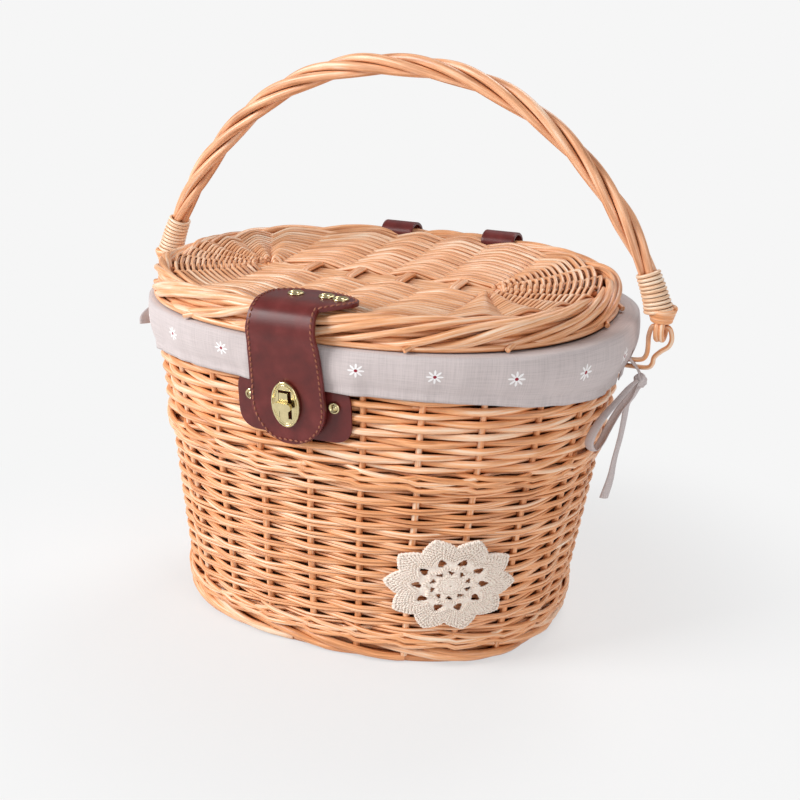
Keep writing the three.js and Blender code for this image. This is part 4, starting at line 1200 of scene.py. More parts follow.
class BASKET_OT_lid_spine(bpy.types.Operator):
    """Lays the flat split spine along the middle of the lid"""
    bl_idname = "basket.lid_spine"
    bl_label = "Lay the Spine"

    def execute(self, context):
        rng = np.random.default_rng(67)
        lines, radii = [], []
        x = np.linspace(SPINE_LEFT - 0.004, SPINE_RIGHT + 0.004, 80)
        slats = 9
        for k in range(slats):
            y = SPINE_Y + (k - (slats - 1) / 2) * SPINE_HALF * 2 / slats
            z = lid_height(0) + 0.0006 + 0.00025 * np.sin(x * 70 + rng.uniform(0, 6))
            lines.append((np.column_stack([x, np.full(80, y), z]), False))
            radii.append(np.full(80, SPINE_HALF * 1.5 / slats))
        piece = rods("lid_spine_slats", lines, radii, LOOKS["lid rods"], sides=10, seed=23)
        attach(piece, "lid")
        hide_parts("lid_spine")
        return {"FINISHED"}


class BASKET_OT_lid_border(bpy.types.Operator):
    """Plaits the lid's thick border and leaves a few cut rod ends showing"""
    bl_idname = "basket.lid_border"
    bl_label = "Plait the Lid Border"

    def execute(self, context):
        lid = context.scene.basket_lid
        rng = np.random.default_rng(71)
        middle_z = (LID_LOW.z + LID_HIGH.z) / 2
        half_height = (LID_HIGH.z - LID_LOW.z) / 2 - lid.border_rod
        lines = border_lines(lid_points, 34, 6.4, radians(-100), radians(168), half_height,
                             BORDER_HALF_DEPTH, middle_z, -BORDER_HALF_DEPTH - lid.border_rod,
                             steps=48, rng=rng, stray=BORDER_STRAY)
        radii = []
        for line, _ in lines:
            taper = np.interp(np.linspace(0, 1, len(line)), [0, 0.1, 0.75, 1], [0.8, 1.0, 1.0, 0.72])
            radii.append(lid.border_rod * taper * rng.uniform(0.86, 1.22))
        core = [(lid_points(shares_round(160), z, -0.0080), True)
                for z in (middle_z - 0.0055, middle_z, middle_z + 0.0050)]
        lines += core
        radii += [np.full(160, BORDER_CORE_ROD) for _ in core]
        lowest = shares_round(240)
        for out in (-0.0036, -0.0078):
            z = LID_LOW.z + lid.border_rod + 0.0005 * wander(rng, 1.0)(lowest)
            lines.append((lid_points(lowest, z, out), True))
            radii.append(np.full(240, lid.border_rod * 0.9))
        step = np.linspace(0, 1, 5)
        for k in range(CUT_ENDS):
            share = (k + rng.uniform(0.2, 0.8)) / CUT_ENDS
            z = LID_LOW.z + 0.0062 - 0.0040 * step
            out = -0.0060 + 0.0066 * step ** 1.5
            lines.append((lid_points(share - CUT_END_SPAN * step, z, out), False))
            radii.append(np.full(5, lid.border_rod * 0.8))
        piece = rods("lid_plait", lines, radii, LOOKS["lid plait"], sides=10, seed=29)
        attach(piece, "lid")
        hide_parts("lid_border")
        return {"FINISHED"}


# Handle

ARCH_HALF_SPAN = 0.190
ARCH_HEIGHT = 0.1585
ARCH_SHOULDER = 0.9
ARCH_RISE = 1.43
ROD_CIRCLE = 0.0046
HANDLE_ROD = 0.0031
HANDLE_CORE = 0.0026
HANDLE_TURNS = 3.4
CANE_RADIUS = 0.0013
COLLAR_TURNS = 4.2
COLLAR_TOP = 0.0086
COLLAR_FOOT = 0.0058
COLLAR_HIGH = 0.0142
COLLAR_LOW = 0.0058
CANE_PITCH = 0.0027
CANE_TURNS = 10
COLLAR_ROD = 0.0019


def arch_line(count=400):
    """The handle's middle line from the left foot to the right, evenly spaced, with the vectors
    across it and out from it and the length reached at each point."""
    a = np.linspace(0, pi, 4001)
    c, s = np.cos(a), np.abs(np.sin(a))
    x = PIVOT.x - np.sign(c) * ARCH_HALF_SPAN * np.abs(c) ** ARCH_SHOULDER
    z = PIVOT.z + ARCH_HEIGHT * s ** ARCH_RISE
    length = running_length(np.hypot(np.diff(x), np.diff(z)))
    at = np.linspace(0, length[-1], count)
    x, z = np.interp(at, length, x), np.interp(at, length, z)
    along = np.column_stack([np.gradient(x), np.zeros(count), np.gradient(z)])
    along /= np.linalg.norm(along, axis=1, keepdims=True)
    across = np.tile([0.0, 1.0, 0.0], (count, 1))
    out = np.cross(along, across)
    return np.column_stack([x, np.full(count, PIVOT.y), z]), across, out, at


def beside_arch(shares, angle, radius):
    """Points at an angle and a distance beside the handle's middle line, at shares of its length."""
    line, across, out, at = arch_line(2000)
    total = at[-1]
    pick = [np.interp(shares * total, at, column) for column in np.column_stack([line, across, out]).T]
    p, a, o = (np.column_stack(pick[i:i + 3]) for i in (0, 3, 6))
    angle, radius = np.broadcast_arrays(angle, radius)
    return p + a * (radius * np.cos(angle))[:, None] + o * (radius * np.sin(angle))[:, None]


def gather(shares, total):
    """How tightly the four rods are drawn together: 1 along the arch, less under the bindings."""
    shares = np.asarray(shares, float)
    from_foot = np.minimum(shares, 1 - shares) * total
    return np.interp(from_foot, [0.0, 0.010, 0.020, 0.040, 0.075], [1.04, 1.02, 0.86, 0.74, 1.0])


class BASKET_OT_handle(bpy.types.Operator):
    """Twists the handle's four rods, bends their ends into eyes and winds the cane bindings"""
    bl_idname = "basket.handle"
    bl_label = "Twist the Handle"

    def execute(self, context):
        rng = np.random.default_rng(83)
        total = arch_line(2000)[3][-1]
        first = 0.0106 / total
        shares = np.linspace(first, 1 - first, 220)
        lines, radii = [], []
        for k in range(4):
            angle = 2 * pi * k / 4 + 2 * pi * HANDLE_TURNS * shares
            wobble = 1 + 0.05 * np.sin(2 * pi * 3 * shares + rng.uniform(0, 6))
            away = ROD_CIRCLE * wobble * gather(shares, total)
            lines.append((beside_arch(shares, angle, away), False))
            swell = 1 + 0.06 * np.sin(2 * pi * 2 * shares + rng.uniform(0, 6))
            radii.append(HANDLE_ROD * swell * (0.4 + 0.6 * gather(shares, total)))
        lines.append((beside_arch(shares, 0 * shares, 0 * shares), False))
        radii.append(HANDLE_CORE * gather(shares, total))
        twist = rods("handle_twist", lines, radii, LOOKS["handle rods"], sides=14, seed=31)
        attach(twist, "handle")
        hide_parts("handle_rod_1", "handle_rod_2", "handle_rod_3", "handle_rod_4")
        for side, name, begin in ((-1, "left", 0.0135), (1, "right", 0.0118)):
            steps = CANE_TURNS * 40
            turn = np.linspace(0, 2 * pi * CANE_TURNS, steps)
            length = begin + CANE_PITCH * turn / (2 * pi)
            share = length / total if side < 0 else 1 - length / total
            around = (ROD_CIRCLE + HANDLE_ROD) * gather(share, total) + CANE_RADIUS * 0.9
            winding = rods(f"binding_{name}", [(beside_arch(share, turn, around), False)],
                           [np.full(steps, CANE_RADIUS)], LOOKS["cane"], sides=8, seed=37)
            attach(winding, "handle")
            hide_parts(f"handle_binding_{name}")
            self.eye(name)
        return {"FINISHED"}

    @staticmethod
    def eye(name):
        """An eye bent from two rods side by side, and the collar wound above it."""
        low, high = (Vector(v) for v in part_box(f"handle_eye_{name}"))
        centre = (low + high) / 2
        thick = (high.x - low.x) / 2
        ring = (high.z - low.z) / 2 - thick
        turn = np.linspace(0, 2 * pi, 49)[:-1]
        lines, radii = [], []
        for shift in (-0.42, 0.42):
            x = np.full(48, centre.x + shift * thick * 1.1)
            y, z = centre.y + ring * np.cos(turn), centre.z + ring * np.sin(turn)
            lines.append((np.column_stack([x, y, z]), True))
            radii.append(np.full(48, thick * 0.58))
        wound = np.linspace(0, 2 * pi * COLLAR_TURNS, 120)
        down = wound / wound[-1]
        reach = COLLAR_TOP + (COLLAR_FOOT - COLLAR_TOP) * down
        height = PIVOT.z + COLLAR_HIGH + (COLLAR_LOW - COLLAR_HIGH) * down
        x, y = centre.x + reach * np.cos(wound) * 0.92, centre.y + reach * np.sin(wound)
        lines.append((np.column_stack([x, y, height]), False))
        radii.append(np.full(120, COLLAR_ROD))
        piece = rods(f"eye_{name}", lines, radii, LOOKS["stakes"], sides=12, seed=41)
        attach(piece, "handle")
        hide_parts(f"handle_eye_{name}")


# Liner

BAG_INSET = 0.008
CLOTH_THICKNESS = 0.0009
SKIRT_OUT = 0.0024
LEAST_OUT = 0.0018
EAR_SLIT_HALF = 0.0042
EAR_SLIT_TOP = 0.210


SEAM_AT = 0.5
BAG_ROWS = ((0.016, -0.0150), (0.030, -0.0135), (0.060, -0.0122), (0.110, -0.0121), (0.170, -0.0121),
            (0.212, -0.0121))
FLOOR_RINGS = (-0.0178, -0.05, -0.09)
EAR_HEIGHT = 0.2
DAISIES_ROUND = 20
DAISY_DROP = 0.0160
DAISY_AT_X = 0.0437


class BASKET_OT_liner(bpy.types.Operator):
    """Drapes the linen liner over the rim, with its folds and hem"""
    bl_idname = "basket.liner"
    bl_label = "Drape the Liner"

    def execute(self, context):
        soft = context.scene.basket_soft
        low_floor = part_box("liner")[0][2]
        count = 720
        share = SEAM_AT + shares_round(count)
        angle = WALL.angle(share)
        hem = 0.198 - 0.012 * np.cos(angle) ** 4
        folds = self.folds(share)
        clear_of_handle = 1 - 0.85 * np.clip(2 * np.sin(angle), 0, 1)
        bulge = 0.0034 * np.clip(np.cos(angle), 0, 1) ** 3 * clear_of_handle
        rows = []
        for z, out in ((low_floor + 0.001, -0.0180), *BAG_ROWS, (LINER_TOP - 0.003, -0.0121),
                       (LINER_TOP - 0.0006, -0.0100), (LINER_TOP - 0.0003, -0.0040),
                       (LINER_TOP - 0.0003, 0.0005)):
            rows.append(WALL.points(share, z, out))
        for t in np.linspace(0, 1, 16):
            z = LINER_TOP - 0.0008 - (LINER_TOP - 0.0008 - hem) * t
            swell = np.sin(pi * min(1, t * 1.15 + 0.08)) ** 0.7
            grown = soft.fold_depth * folds * (0.35 + 0.65 * t) * min(1, t * 3)
            out = SKIRT_OUT + (0.0022 + bulge) * swell + grown * (0.4 + 0.6 * clear_of_handle)
            rows.append(WALL.points(share, z, np.maximum(out, LEAST_OUT)))
        grid = np.stack(rows)
        steps = np.linalg.norm(np.diff(grid, axis=0), axis=2).mean(axis=1)
        v = running_length(steps)
        v -= v[len(BAG_ROWS) + 4]
        columns = np.concatenate([grid, grid[:, :1]], axis=1)
        faces = grid_faces(len(v), count + 1)
        piece = new_mesh_object("liner_cloth", columns.reshape(-1, 3), faces)
        u = np.tile((SEAM_AT + np.arange(count + 1) / count) * WALL.perimeter, (len(v), 1))
        write_uv(piece, np.stack([u, np.tile(v[:, None], (1, count + 1))], axis=-1).reshape(-1, 2))
        self.cut_ear_slits(piece)
        piece.data.materials.append(LOOKS["linen"])
        thicken(piece, CLOTH_THICKNESS)
        apply_modifiers(piece)
        self.paint_shade_behind_weave(piece)
        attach(piece, "basket")
        floor = self.floor(low_floor + 0.001)
        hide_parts("liner")
        return {"FINISHED"}

    @staticmethod
    def folds(share):
        """The folds' height round the cloth, as a sum of waves of ever more folds."""
        rng = np.random.default_rng(91)
        wave = np.zeros_like(share)
        for k, size in ((5, 0.5), (9, 0.5), (16, 0.7), (27, 0.45), (41, 0.3), (63, 0.16)):
            wave += size * np.sin(2 * pi * k * share + rng.uniform(0, 2 * pi))
        return wave / 1.6

    @staticmethod
    def paint_shade_behind_weave(piece):
        """Gives the bag's outward side, which shows between the willow, a dark linen look that is painted
        shade.
        """
        piece.data.materials.append(LOOKS["backing"])
        for face in piece.data.polygons:
            centre, normal = face.center, face.normal
            turned_out = (centre.x - PIVOT.x) * normal.x + centre.y * normal.y > 0
            # outward faces behind the wall get the painted shade
            if centre.z < LINER_TOP - 0.002 and turned_out and WALL.outside(centre) < -BAG_INSET:
                face.material_index = 1

    @staticmethod
    def cut_ear_slits(piece):
        """Opens the cloth where the two ears pass through it."""
        shape = bmesh.new()
        shape.from_mesh(piece.data)
        wall = WALL.at(EAR_HEIGHT, WALL.length) - 0.002
        gone = []
        for face in shape.faces:
            place = face.calc_center_median()
            if (abs(place.y - PIVOT.y) < EAR_SLIT_HALF and place.z < EAR_SLIT_TOP
                    and abs(place.x - PIVOT.x) > wall):
                gone.append(face)
        bmesh.ops.delete(shape, geom=gone, context="FACES")
        shape.to_mesh(piece.data)
        shape.free()

    @staticmethod
    def floor(z):
        """The oval cloth on the basket's base."""
        count = 120
        grid = np.stack([WALL.points(shares_round(count), z + 0.0004, out) for out in FLOOR_RINGS])
        points = np.vstack([grid.reshape(-1, 3), grid[-1].mean(axis=0)])
        faces = [tuple(f) for f in grid_faces(3, count, close_columns=True)]
        last = len(points) - 1
        faces += [(2 * count + i, 2 * count + (i + 1) % count, last) for i in range(count)]
        piece = new_mesh_object("liner_floor", points, faces)
        write_uv(piece, points[:, :2])
        piece.data.materials.append(LOOKS["linen"])
        thicken(piece, CLOTH_THICKNESS, offset=-1)
        apply_modifiers(piece)
        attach(piece, "basket")
        return piece


# Leather

def strip_mesh(name, profile, widths, thickness, centre_x, look, samples):
    """A leather strip: profile gives (y, z) down its length, widths half its width at each place."""
    profile = np.asarray(profile)
    widths = np.asarray(widths)
    across = np.linspace(-1, 1, samples)
    centres = np.broadcast_to(centre_x, (len(profile),))
    rows = [np.column_stack([centre + across * half, np.full(samples, y), np.full(samples, z)])
            for (y, z), half, centre in zip(profile, widths, centres)]
    piece = new_mesh_object(name, np.vstack(rows), grid_faces(len(rows), samples))
    outward_y(piece)
    piece.data.materials.append(look)
    thicken(piece, thickness)
    rounded = piece.modifiers.new("Edges", "BEVEL")
    rounded.width = thickness * 0.3
    rounded.segments = 2
    rounded.limit_method = "ANGLE"
    return apply_modifiers(piece)


def outward_y(piece):
    """Turns an open sheet so that its faces look towards -Y or upwards."""
    normal = sum((Vector(p.normal) * p.area for p in piece.data.polygons), Vector())
    if normal.y > 0:
        piece.data.flip_normals()


def smooth_path(points, count):
    """Evenly spaced points on a smooth curve through a few chosen ones."""
    points = np.asarray(points, float)
    ghost = np.vstack([2 * points[0] - points[1], points, 2 * points[-1] - points[-2]])
    fine = []
    for i in range(1, len(ghost) - 2):
        t = np.linspace(0, 1, 24, endpoint=False)[:, None]
        a, b, c, d = ghost[i - 1:i + 3]
        bend = (2 * a - 5 * b + 4 * c - d) * t ** 2
        fine.append(0.5 * (2 * b + (c - a) * t + bend + (3 * b - a - 3 * c + d) * t ** 3))
    fine = np.vstack(fine + [points[-1:]])
    length = running_length(np.linalg.norm(np.diff(fine, axis=0), axis=1))
    at = np.linspace(0, length[-1], count)
    return np.column_stack([np.interp(at, length, column) for column in fine.T])


FLAP_THICKNESS = 0.0026
FLAP_HALF_WIDTHS = [0.0264, 0.0264, 0.0252, 0.0226]
MOON_RIGHT = 0.0170
MOON_LEFT = 0.0150
MOON_STATIONS = [MOON_RIGHT, 0.022, 0.028, 0.034, 0.041]
TIP_LENGTH = 0.0265
SEAM_INSET = 0.0019


def rounded(share):
    """A quarter circle's height, from 0 at share 0 to 1 at share 1 and beyond."""
    return sqrt(max(0.0, 1 - (1 - min(1.0, share)) ** 2))


class BASKET_OT_flap(bpy.types.Operator):
    """Shapes the leather flap with its half-moon, fold and stitched edges"""
    bl_idname = "basket.flap"
    bl_label = "Shape the Flap"

    def execute(self, context):
        trim = context.scene.basket_trim
        hinge = FLAP_AXIS
        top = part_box("closure_head")
        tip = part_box("closure_flap")
        deck = (top[0][2] + top[1][2]) / 2
        back = top[1][1]
        bottom = tip[0][2]

        def lean(z):
            """How far forward the leaning wall is at a height."""
            return hinge.y + (hinge.z - z) * tan(WALL_LEAN)

        down = [hinge.z - drop for drop in (0.024, 0.040, 0.060)]
        path = smooth_path([
            (back, deck), (back - 0.008, deck), (hinge.y + 0.0195, deck + 0.0004),
            (hinge.y + 0.0105, deck), (hinge.y + 0.0042, deck - 0.0021),
            (hinge.y - 0.0002, deck - 0.0065), (hinge.y - 0.0026, hinge.z - 0.0135),
            (lean(down[0]) - 0.0022, down[0]), (lean(down[1]) - 0.0006, down[1]),
            (lean(down[2]), down[2]), (lean(bottom), bottom)], 100)
        left, right = self.edges(path, back, deck, bottom)
        middle_x = hinge.x + (right - left) / 2
        half = (left + right) / 2
        piece = strip_mesh("flap_leather", path, half, FLAP_THICKNESS, middle_x, LOOKS["leather"],
                           samples=17)
        self.dress(piece)
        line = [(self.inset(path, left, right, hinge.x), False)]
        sewn = stitches("flap_stitches", line, LOOKS["thread"], trim.stitch,
                        length=0.0034, thickness=0.0013, slant=0.35)
        self.dress(sewn)
        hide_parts("closure_head", "closure_flap")
        return {"FINISHED"}

    @staticmethod
    def dress(piece):
        """Bakes a piece's placing into its mesh."""
        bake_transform(piece)

    @staticmethod
    def edges(path, back, deck, bottom):
        """How far the leather reaches left and right of the flap's middle, down its length: a
        half-moon on the lid that bulges to the right, narrow at the fold, a little wider at the
        lock and round at the tip."""
        left, right = [], []
        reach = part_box("closure_head")[1][0] - FLAP_AXIS.x
        waist = [reach, reach - 0.0010, reach - 0.0058, 0.0262, 0.0228]
        for y, z in path:
            from_back = back - y
            if z > deck - 0.001 and y > FLAP_AXIS.y + 0.003:
                if from_back < MOON_RIGHT:
                    right.append(0.0035 + (reach - 0.0035) * rounded(from_back / MOON_RIGHT))
                else:
                    right.append(float(np.interp(from_back, MOON_STATIONS, waist)))
                if from_back < MOON_LEFT:
                    left.append(-0.0025 + 0.0262 * rounded(from_back / MOON_LEFT))
                else:
                    left.append(float(np.interp(from_back, [MOON_LEFT, 0.041], [0.0237, 0.0226])))
            else:
                rise = z - bottom
                wide = np.interp(rise, [0, 0.03, 0.06, 0.09], FLAP_HALF_WIDTHS)
                narrow = max(0.004, wide * rounded(rise / TIP_LENGTH))
                left.append(narrow)
                right.append(narrow)
        return np.array(left), np.array(right)

    @staticmethod
    def inset(path, left, right, centre):
        """A line round the flap and the half-moon, a little inside their edge, on their outer face."""
        tangent = np.gradient(path, axis=0)
        tangent /= np.linalg.norm(tangent, axis=1, keepdims=True)
        face = np.column_stack([tangent[:, 1], -tangent[:, 0]])
        if face[-5, 0] > 0:
            face = -face
        surface = path + face * FLAP_THICKNESS / 2
        keep = (left + right > 0.020) & (path[:, 0] < path[0, 0] - 0.0012)
        one = np.column_stack([centre - (left[keep] - SEAM_INSET), surface[keep]])
        other = np.column_stack([centre + (right[keep] - SEAM_INSET), surface[keep]])
        lowest = path[:, 1].min() + SEAM_INSET
        for line in (one, other):
            line[:, 2] = np.maximum(line[:, 2], lowest)
        return np.vstack([one, other[::-1]])


LEATHER_NODES = ("lock_backing", "mount_strap_left", "mount_strap_right",
                 "mount_keeper_left", "mount_keeper_right")
TAB_ROWS = 70
TAB_THICKNESS = 0.0020


class BASKET_OT_leather_trim(bpy.types.Operator):
    """Dresses the hinge tabs, backing, mounting straps and keepers in leather"""
    bl_idname = "basket.leather_trim"
    bl_label = "Dress the Leather"

    def execute(self, context):
        for name in LEATHER_NODES:
            paint(name, LOOKS["leather"])
        for name in ("left", "right"):
            self.hinge(name)
        return {"FINISHED"}

    @staticmethod
    def hinge(name):
        """A leather tab that rolls over the lid's border and down the back of the wall."""
        upper, lower = f"hinge_tab_{name}_upper", f"hinge_tab_{name}_lower"
        low, high = (Vector(v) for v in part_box(upper))
        foot, head = (Vector(v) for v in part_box(lower))
        axis = Vector(joint("lid_open")["pos_m"])
        crown = high.z + 0.0008
        path = smooth_path([
            (low.y + 0.0030, crown - 0.0085), (low.y + 0.0036, crown - 0.0038),
            (low.y + 0.0070, crown - 0.0006), (low.y + 0.0120, crown + 0.0006),
            (low.y + 0.0175, crown - 0.0004), (high.y - 0.0030, crown - 0.0042),
            (high.y - 0.0012, crown - 0.0100), (high.y - 0.0016, axis.z),
            (head.y - 0.0030, axis.z - 0.0120), (foot.y + 0.0016, foot.z + 0.0130),
            (foot.y + 0.0011, foot.z)], TAB_ROWS)
        half = np.full(TAB_ROWS, (high.x - low.x) / 2)
        from_end = np.linspace(1, 0, TAB_ROWS)
        half *= np.sqrt(np.clip(1 - (1 - np.minimum(1, from_end / 0.16 + 0.05)) ** 2, 0, 1))
        piece = strip_mesh(f"hinge_{name}", path, half, TAB_THICKNESS, (low.x + high.x) / 2,
                           LOOKS["leather"], samples=13)
        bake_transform(piece)
        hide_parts(upper, lower)


def paint(name, look):
    """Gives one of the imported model's own solids a finish."""
    materials = frame["nodes"][name].data.materials
    materials.clear()
    materials.append(look)


BRASS_NODES = ("lock_plate", "lock_post", "lock_bar", "lock_base", "mount_buckle_left",
               "mount_buckle_right", "hinge_rivet_left", "hinge_rivet_right")
EYELET_SCALE = 1.15
CENTRE_RADIUS = 0.0002
EYELET_PROFILE = ((0.92, 0.0), (1.0, 0.0006), (0.95, 0.0013), (0.82, 0.0017), (0.68, 0.0014), (0.60, 0.0006),
                  (0.48, 0.0005), (0.40, 0.0011), (0.22, 0.0016))


class BASKET_OT_brass(bpy.types.Operator):
    """Polishes the lock, eyelets, rivets and buckles"""
    bl_idname = "basket.brass"
    bl_label = "Polish the Brass"

    def execute(self, context):
        for name in BRASS_NODES:
            paint(name, LOOKS["brass"])
        for k in (1, 2, 3):
            self.eyelet(f"closure_eyelet_{k}", "lid", (0, 0, 1), EYELET_SCALE)
        out = Vector((0, -cos(WALL_LEAN), -sin(WALL_LEAN)))
        for side in ("left", "right"):
            self.eyelet(f"backing_rivet_{side}", "basket", out, 1.0)
        self.plate_rim()
        return {"FINISHED"}

    @staticmethod
    def eyelet(node, body, axis, scale):
        """A pressed eyelet: a rolled rim round a dished middle with a small dome."""
        low, high = (Vector(v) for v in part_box(node))
        radius = (high.x - low.x) / 2 * scale
        axis = Vector(axis)
        foot = (low + high) / 2 - axis * 0.0008
        profile = [(radius * share, height) for share, height in EYELET_PROFILE]
        profile = [(CENTRE_RADIUS, 0.0), *profile, (CENTRE_RADIUS, 0.0018)]
        name = node.replace("closure_", "").replace("backing_", "") + "_cap"
        piece = turned_piece(name, profile, foot, axis, LOOKS["brass"])
        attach(piece, body)
        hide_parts(node)

    @staticmethod
    def plate_rim():
        """The raised rim of the oval lock plate, and a finer bead inside it."""
        low, high = (Vector(v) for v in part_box("lock_plate"))
        centre = (low + high) / 2
        turn = np.linspace(0, 2 * pi, 65)[:-1]
        lines = []
        for inset in (0.0009, 0.0026):
            x = centre.x + ((high.x - low.x) / 2 - inset) * np.cos(turn)
            z = centre.z + ((high.z - low.z) / 2 - inset) * np.sin(turn)
            y = low.y - 0.0001 + (high.z - z) * tan(WALL_LEAN)
            lines.append((np.column_stack([x, y, z]), True))
        radii = [np.full(64, 0.0008), np.full(64, 0.0004)]
        piece = rods("lock_rim", lines, radii, LOOKS["brass"], sides=8, seed=59)
        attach(piece, "flap")


class BASKET_OT_plain_willow(bpy.types.Operator):
    """Gives the hidden rim its willow finish, and bends the ears that hold the handle"""
    bl_idname = "basket.plain_willow"
    bl_label = "Finish the Plain Willow"

    def execute(self, context):
        paint("rim_border", LOOKS["solid willow"])
        for side, name in ((-1, "left"), (1, "right")):
            self.ear(name, side)
        return {"FINISHED"}

    @staticmethod
    def ear(name, side):
        """A rod that comes up through the liner, passes through the handle's eye and goes back down."""
        high = Vector(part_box(f"handle_ear_{name}")[1])
        pin = abs(middle(f"handle_eye_{name}").x)
        inner, top = pin - 0.0076, high.z - EAR_ROD
        wall = WALL.at(EAR_HEIGHT, WALL.length) + side * WALL.at(EAR_HEIGHT, WALL.centre)
        route = [(wall, 0.2030), (wall + 0.0080, 0.2030), (inner - 0.0032, 0.2042),
                 (inner - 0.0004, 0.2086), (inner, 0.2150), (inner, 0.2210), (inner + 0.0022, top),
                 (pin, top), (pin + 0.0054, top), (pin + 0.0076, 0.2210), (pin + 0.0060, 0.2152),
                 (pin + 0.0012, 0.2112), (pin - 0.0030, 0.2066), (pin - 0.0040, 0.2018),
                 (pin - 0.0076, 0.1989), (wall + 0.0060, 0.1986), (wall, 0.1986)]
        path = smooth_path(route, 90)
        line = np.column_stack([side * path[:, 0], np.full(90, PIVOT.y), path[:, 1]])
        piece = rods(f"ear_{name}", [(line, False)], [np.full(90, EAR_ROD)], LOOKS["stakes"],
                     sides=12, seed=53)
        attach(piece, "basket")
        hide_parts(f"handle_ear_{name}")


EAR_ROD = 0.0016
DOILY_PETALS = 10
DOILY_OUT = 0.0040
DOILY_THREAD = 0.00055
DOILY_HALF_WIDTH = 0.0432
DOILY_THICKNESS = 0.0008
PETAL_COLUMNS = 24
PETAL_SPOKES = 8
HOLE_INNER = (7.5, 0.315, 0.064)
HOLE_OUTER = (6.6, 0.505, 0.092)
DOILY_ROUNDS = (0.06, 0.12, 0.18, 0.235, 0.395, 0.615, 0.67, 0.73, 0.79, 0.85, 0.91, 0.975)


class BASKET_OT_doily(bpy.types.Operator):
    """Crochets the cotton doily: an openwork sheet with two rings of holes, and looped thread on it"""
    bl_idname = "basket.doily"
    bl_label = "Crochet the Doily"

    def execute(self, context):
        low, high = (Vector(v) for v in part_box("doily"))
        centre_z = (low.z + high.z) / 2
        half_height = (high.z - low.z) / 2
        share = WALL.share_of((low.x + high.x) / 2, z=centre_z)
        around = WALL.perimeter * WALL.at(centre_z, WALL.length) / WALL.length[1]
        half_width = DOILY_HALF_WIDTH

        def place(reach, turn, out=0.0):
            """A place on the doily, by its share of the way out and its angle."""
            reach, turn = np.broadcast_arrays(np.asarray(reach, float), np.asarray(turn, float))
            aside = half_width * reach * np.cos(turn)
            z = centre_z + half_height * reach * np.sin(turn)
            return WALL.points(share + aside / around, z, DOILY_OUT + out)

        def edge(turn):
            """How far out the petals' edge is: pointed petals, with soft sides."""
            tip = np.abs(np.mod(turn * DOILY_PETALS / (2 * pi) + 0.05, 1.0) - 0.5) * 2
            return 0.80 + 0.20 * tip ** 0.85

        columns, rows = DOILY_PETALS * PETAL_COLUMNS, 44
        turns = np.arange(columns) * 2 * pi / columns
        steps = np.linspace(0.03, 1.0, rows)
        grid = np.stack([place(step * edge(turns), turns) for step in steps])
        faces = []
        for r, c in np.ndindex(rows - 1, columns):
            reach = (steps[r] + steps[r + 1]) / 2
            if not self.hole(reach, c):
                n = (c + 1) % columns
                row, above = r * columns, (r + 1) * columns
                faces.append((row + c, row + n, above + n, above + c))
        faces.append(tuple(range(columns))[::-1])
        piece = new_mesh_object("doily_sheet", grid.reshape(-1, 3), faces)
        piece.data.materials.append(LOOKS["cotton"])
        thicken(piece, DOILY_THICKNESS)
        apply_modifiers(piece)
        lines = []
        turn = np.arange(720) * 2 * pi / 720
        for k, reach in enumerate(DOILY_ROUNDS):
            loops = DOILY_PETALS * (6 if reach < 0.4 else 12)
            wave = 0.024 * np.sin(loops * turn + k) + 0.008 * np.sin(5 * loops / 3 * turn + 2.1 * k)
            lift = 0.0006 + 0.0006 * np.cos(loops * turn + 1.7 * k)
            lines.append((place((reach + wave) * edge(turn), turn, lift), True))
        petal = np.linspace(0, 1, 9)
        for k in range(DOILY_PETALS * PETAL_SPOKES):
            spoke = (k + 0.5) * 2 * pi / (DOILY_PETALS * PETAL_SPOKES)
            bent = spoke + 0.03 * np.sin(petal * 3 * pi)
            lines.append((place((0.72 + 0.27 * petal) * edge(spoke), bent, 0.0007), False))
        radii = [np.full(len(line), DOILY_THREAD) for line, _ in lines]
        threads = rods("doily_threads", lines, radii, LOOKS["cotton"], sides=6, seed=43)
        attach(piece, "basket")
        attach(threads, "basket")
        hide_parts("doily")
        return {"FINISHED"}

    @staticmethod
    def hole(reach, column):
        """Whether a cell of the sheet is open: small holes in the inner ring, lozenges in the outer one."""
        half = PETAL_COLUMNS // 2
        for shift, (wide, middle_reach, deep) in ((0, HOLE_INNER), (half, HOLE_OUTER)):
            aside = abs((column + shift) % PETAL_COLUMNS - half)
            if aside / wide + abs(reach - middle_reach) / deep < 1:
                return True
        return False


RIBBON_WIDTH = 0.010
RIBBON_THICKNESS = 0.0005
TAIL_PATH = (
    (0, 0, -0.003), (-0.0035, -0.0012, -0.0105), (-0.0070, -0.0024, -0.0170), (-0.0082, -0.0034, -0.0280),
    (-0.0096, -0.0040, -0.0400), (-0.0122, -0.0048, -0.0550), (-0.0140, -0.0062, -0.0700),
    (-0.0172, -0.0075, -0.0840))
TAIL_SIDES = ((0.1, 1.0, 0), (0.35, 0.9, 0), (0.5, 0.85, 0), (0.35, 0.95, 0), (0.6, 0.8, 0))
TAIL_TAPER = ([0, 0.06, 0.25, 0.7, 1], [0.36, 0.46, 0.56, 0.62, 0.72])
LOOP_PATH = (
    (-0.0010, -0.0050, 0.0010), (-0.0036, -0.0140, -0.0015), (-0.0080, -0.0270, -0.0080),
    (-0.0128, -0.0385, -0.0150), (-0.0170, -0.0430, -0.0235), (-0.0200, -0.0420, -0.0330),
    (-0.0192, -0.0350, -0.0400), (-0.0172, -0.0260, -0.0380), (-0.0148, -0.0180, -0.0300),
    (-0.0105, -0.0115, -0.0195), (-0.0052, -0.0070, -0.0105))
LOOP_TAPER = ([0, 0.08, 0.3, 0.7, 0.92, 1], [0.36, 0.5, 0.62, 0.62, 0.5, 0.36])
BAND_PATH = (
    (-0.0100, 0.0070, 0.0120), (-0.0050, 0.0045, 0.0075), (0.0005, 0.0004, 0.0012),
    (0.0010, -0.0012, -0.0040))
KNOT_RADIUS = 0.0049


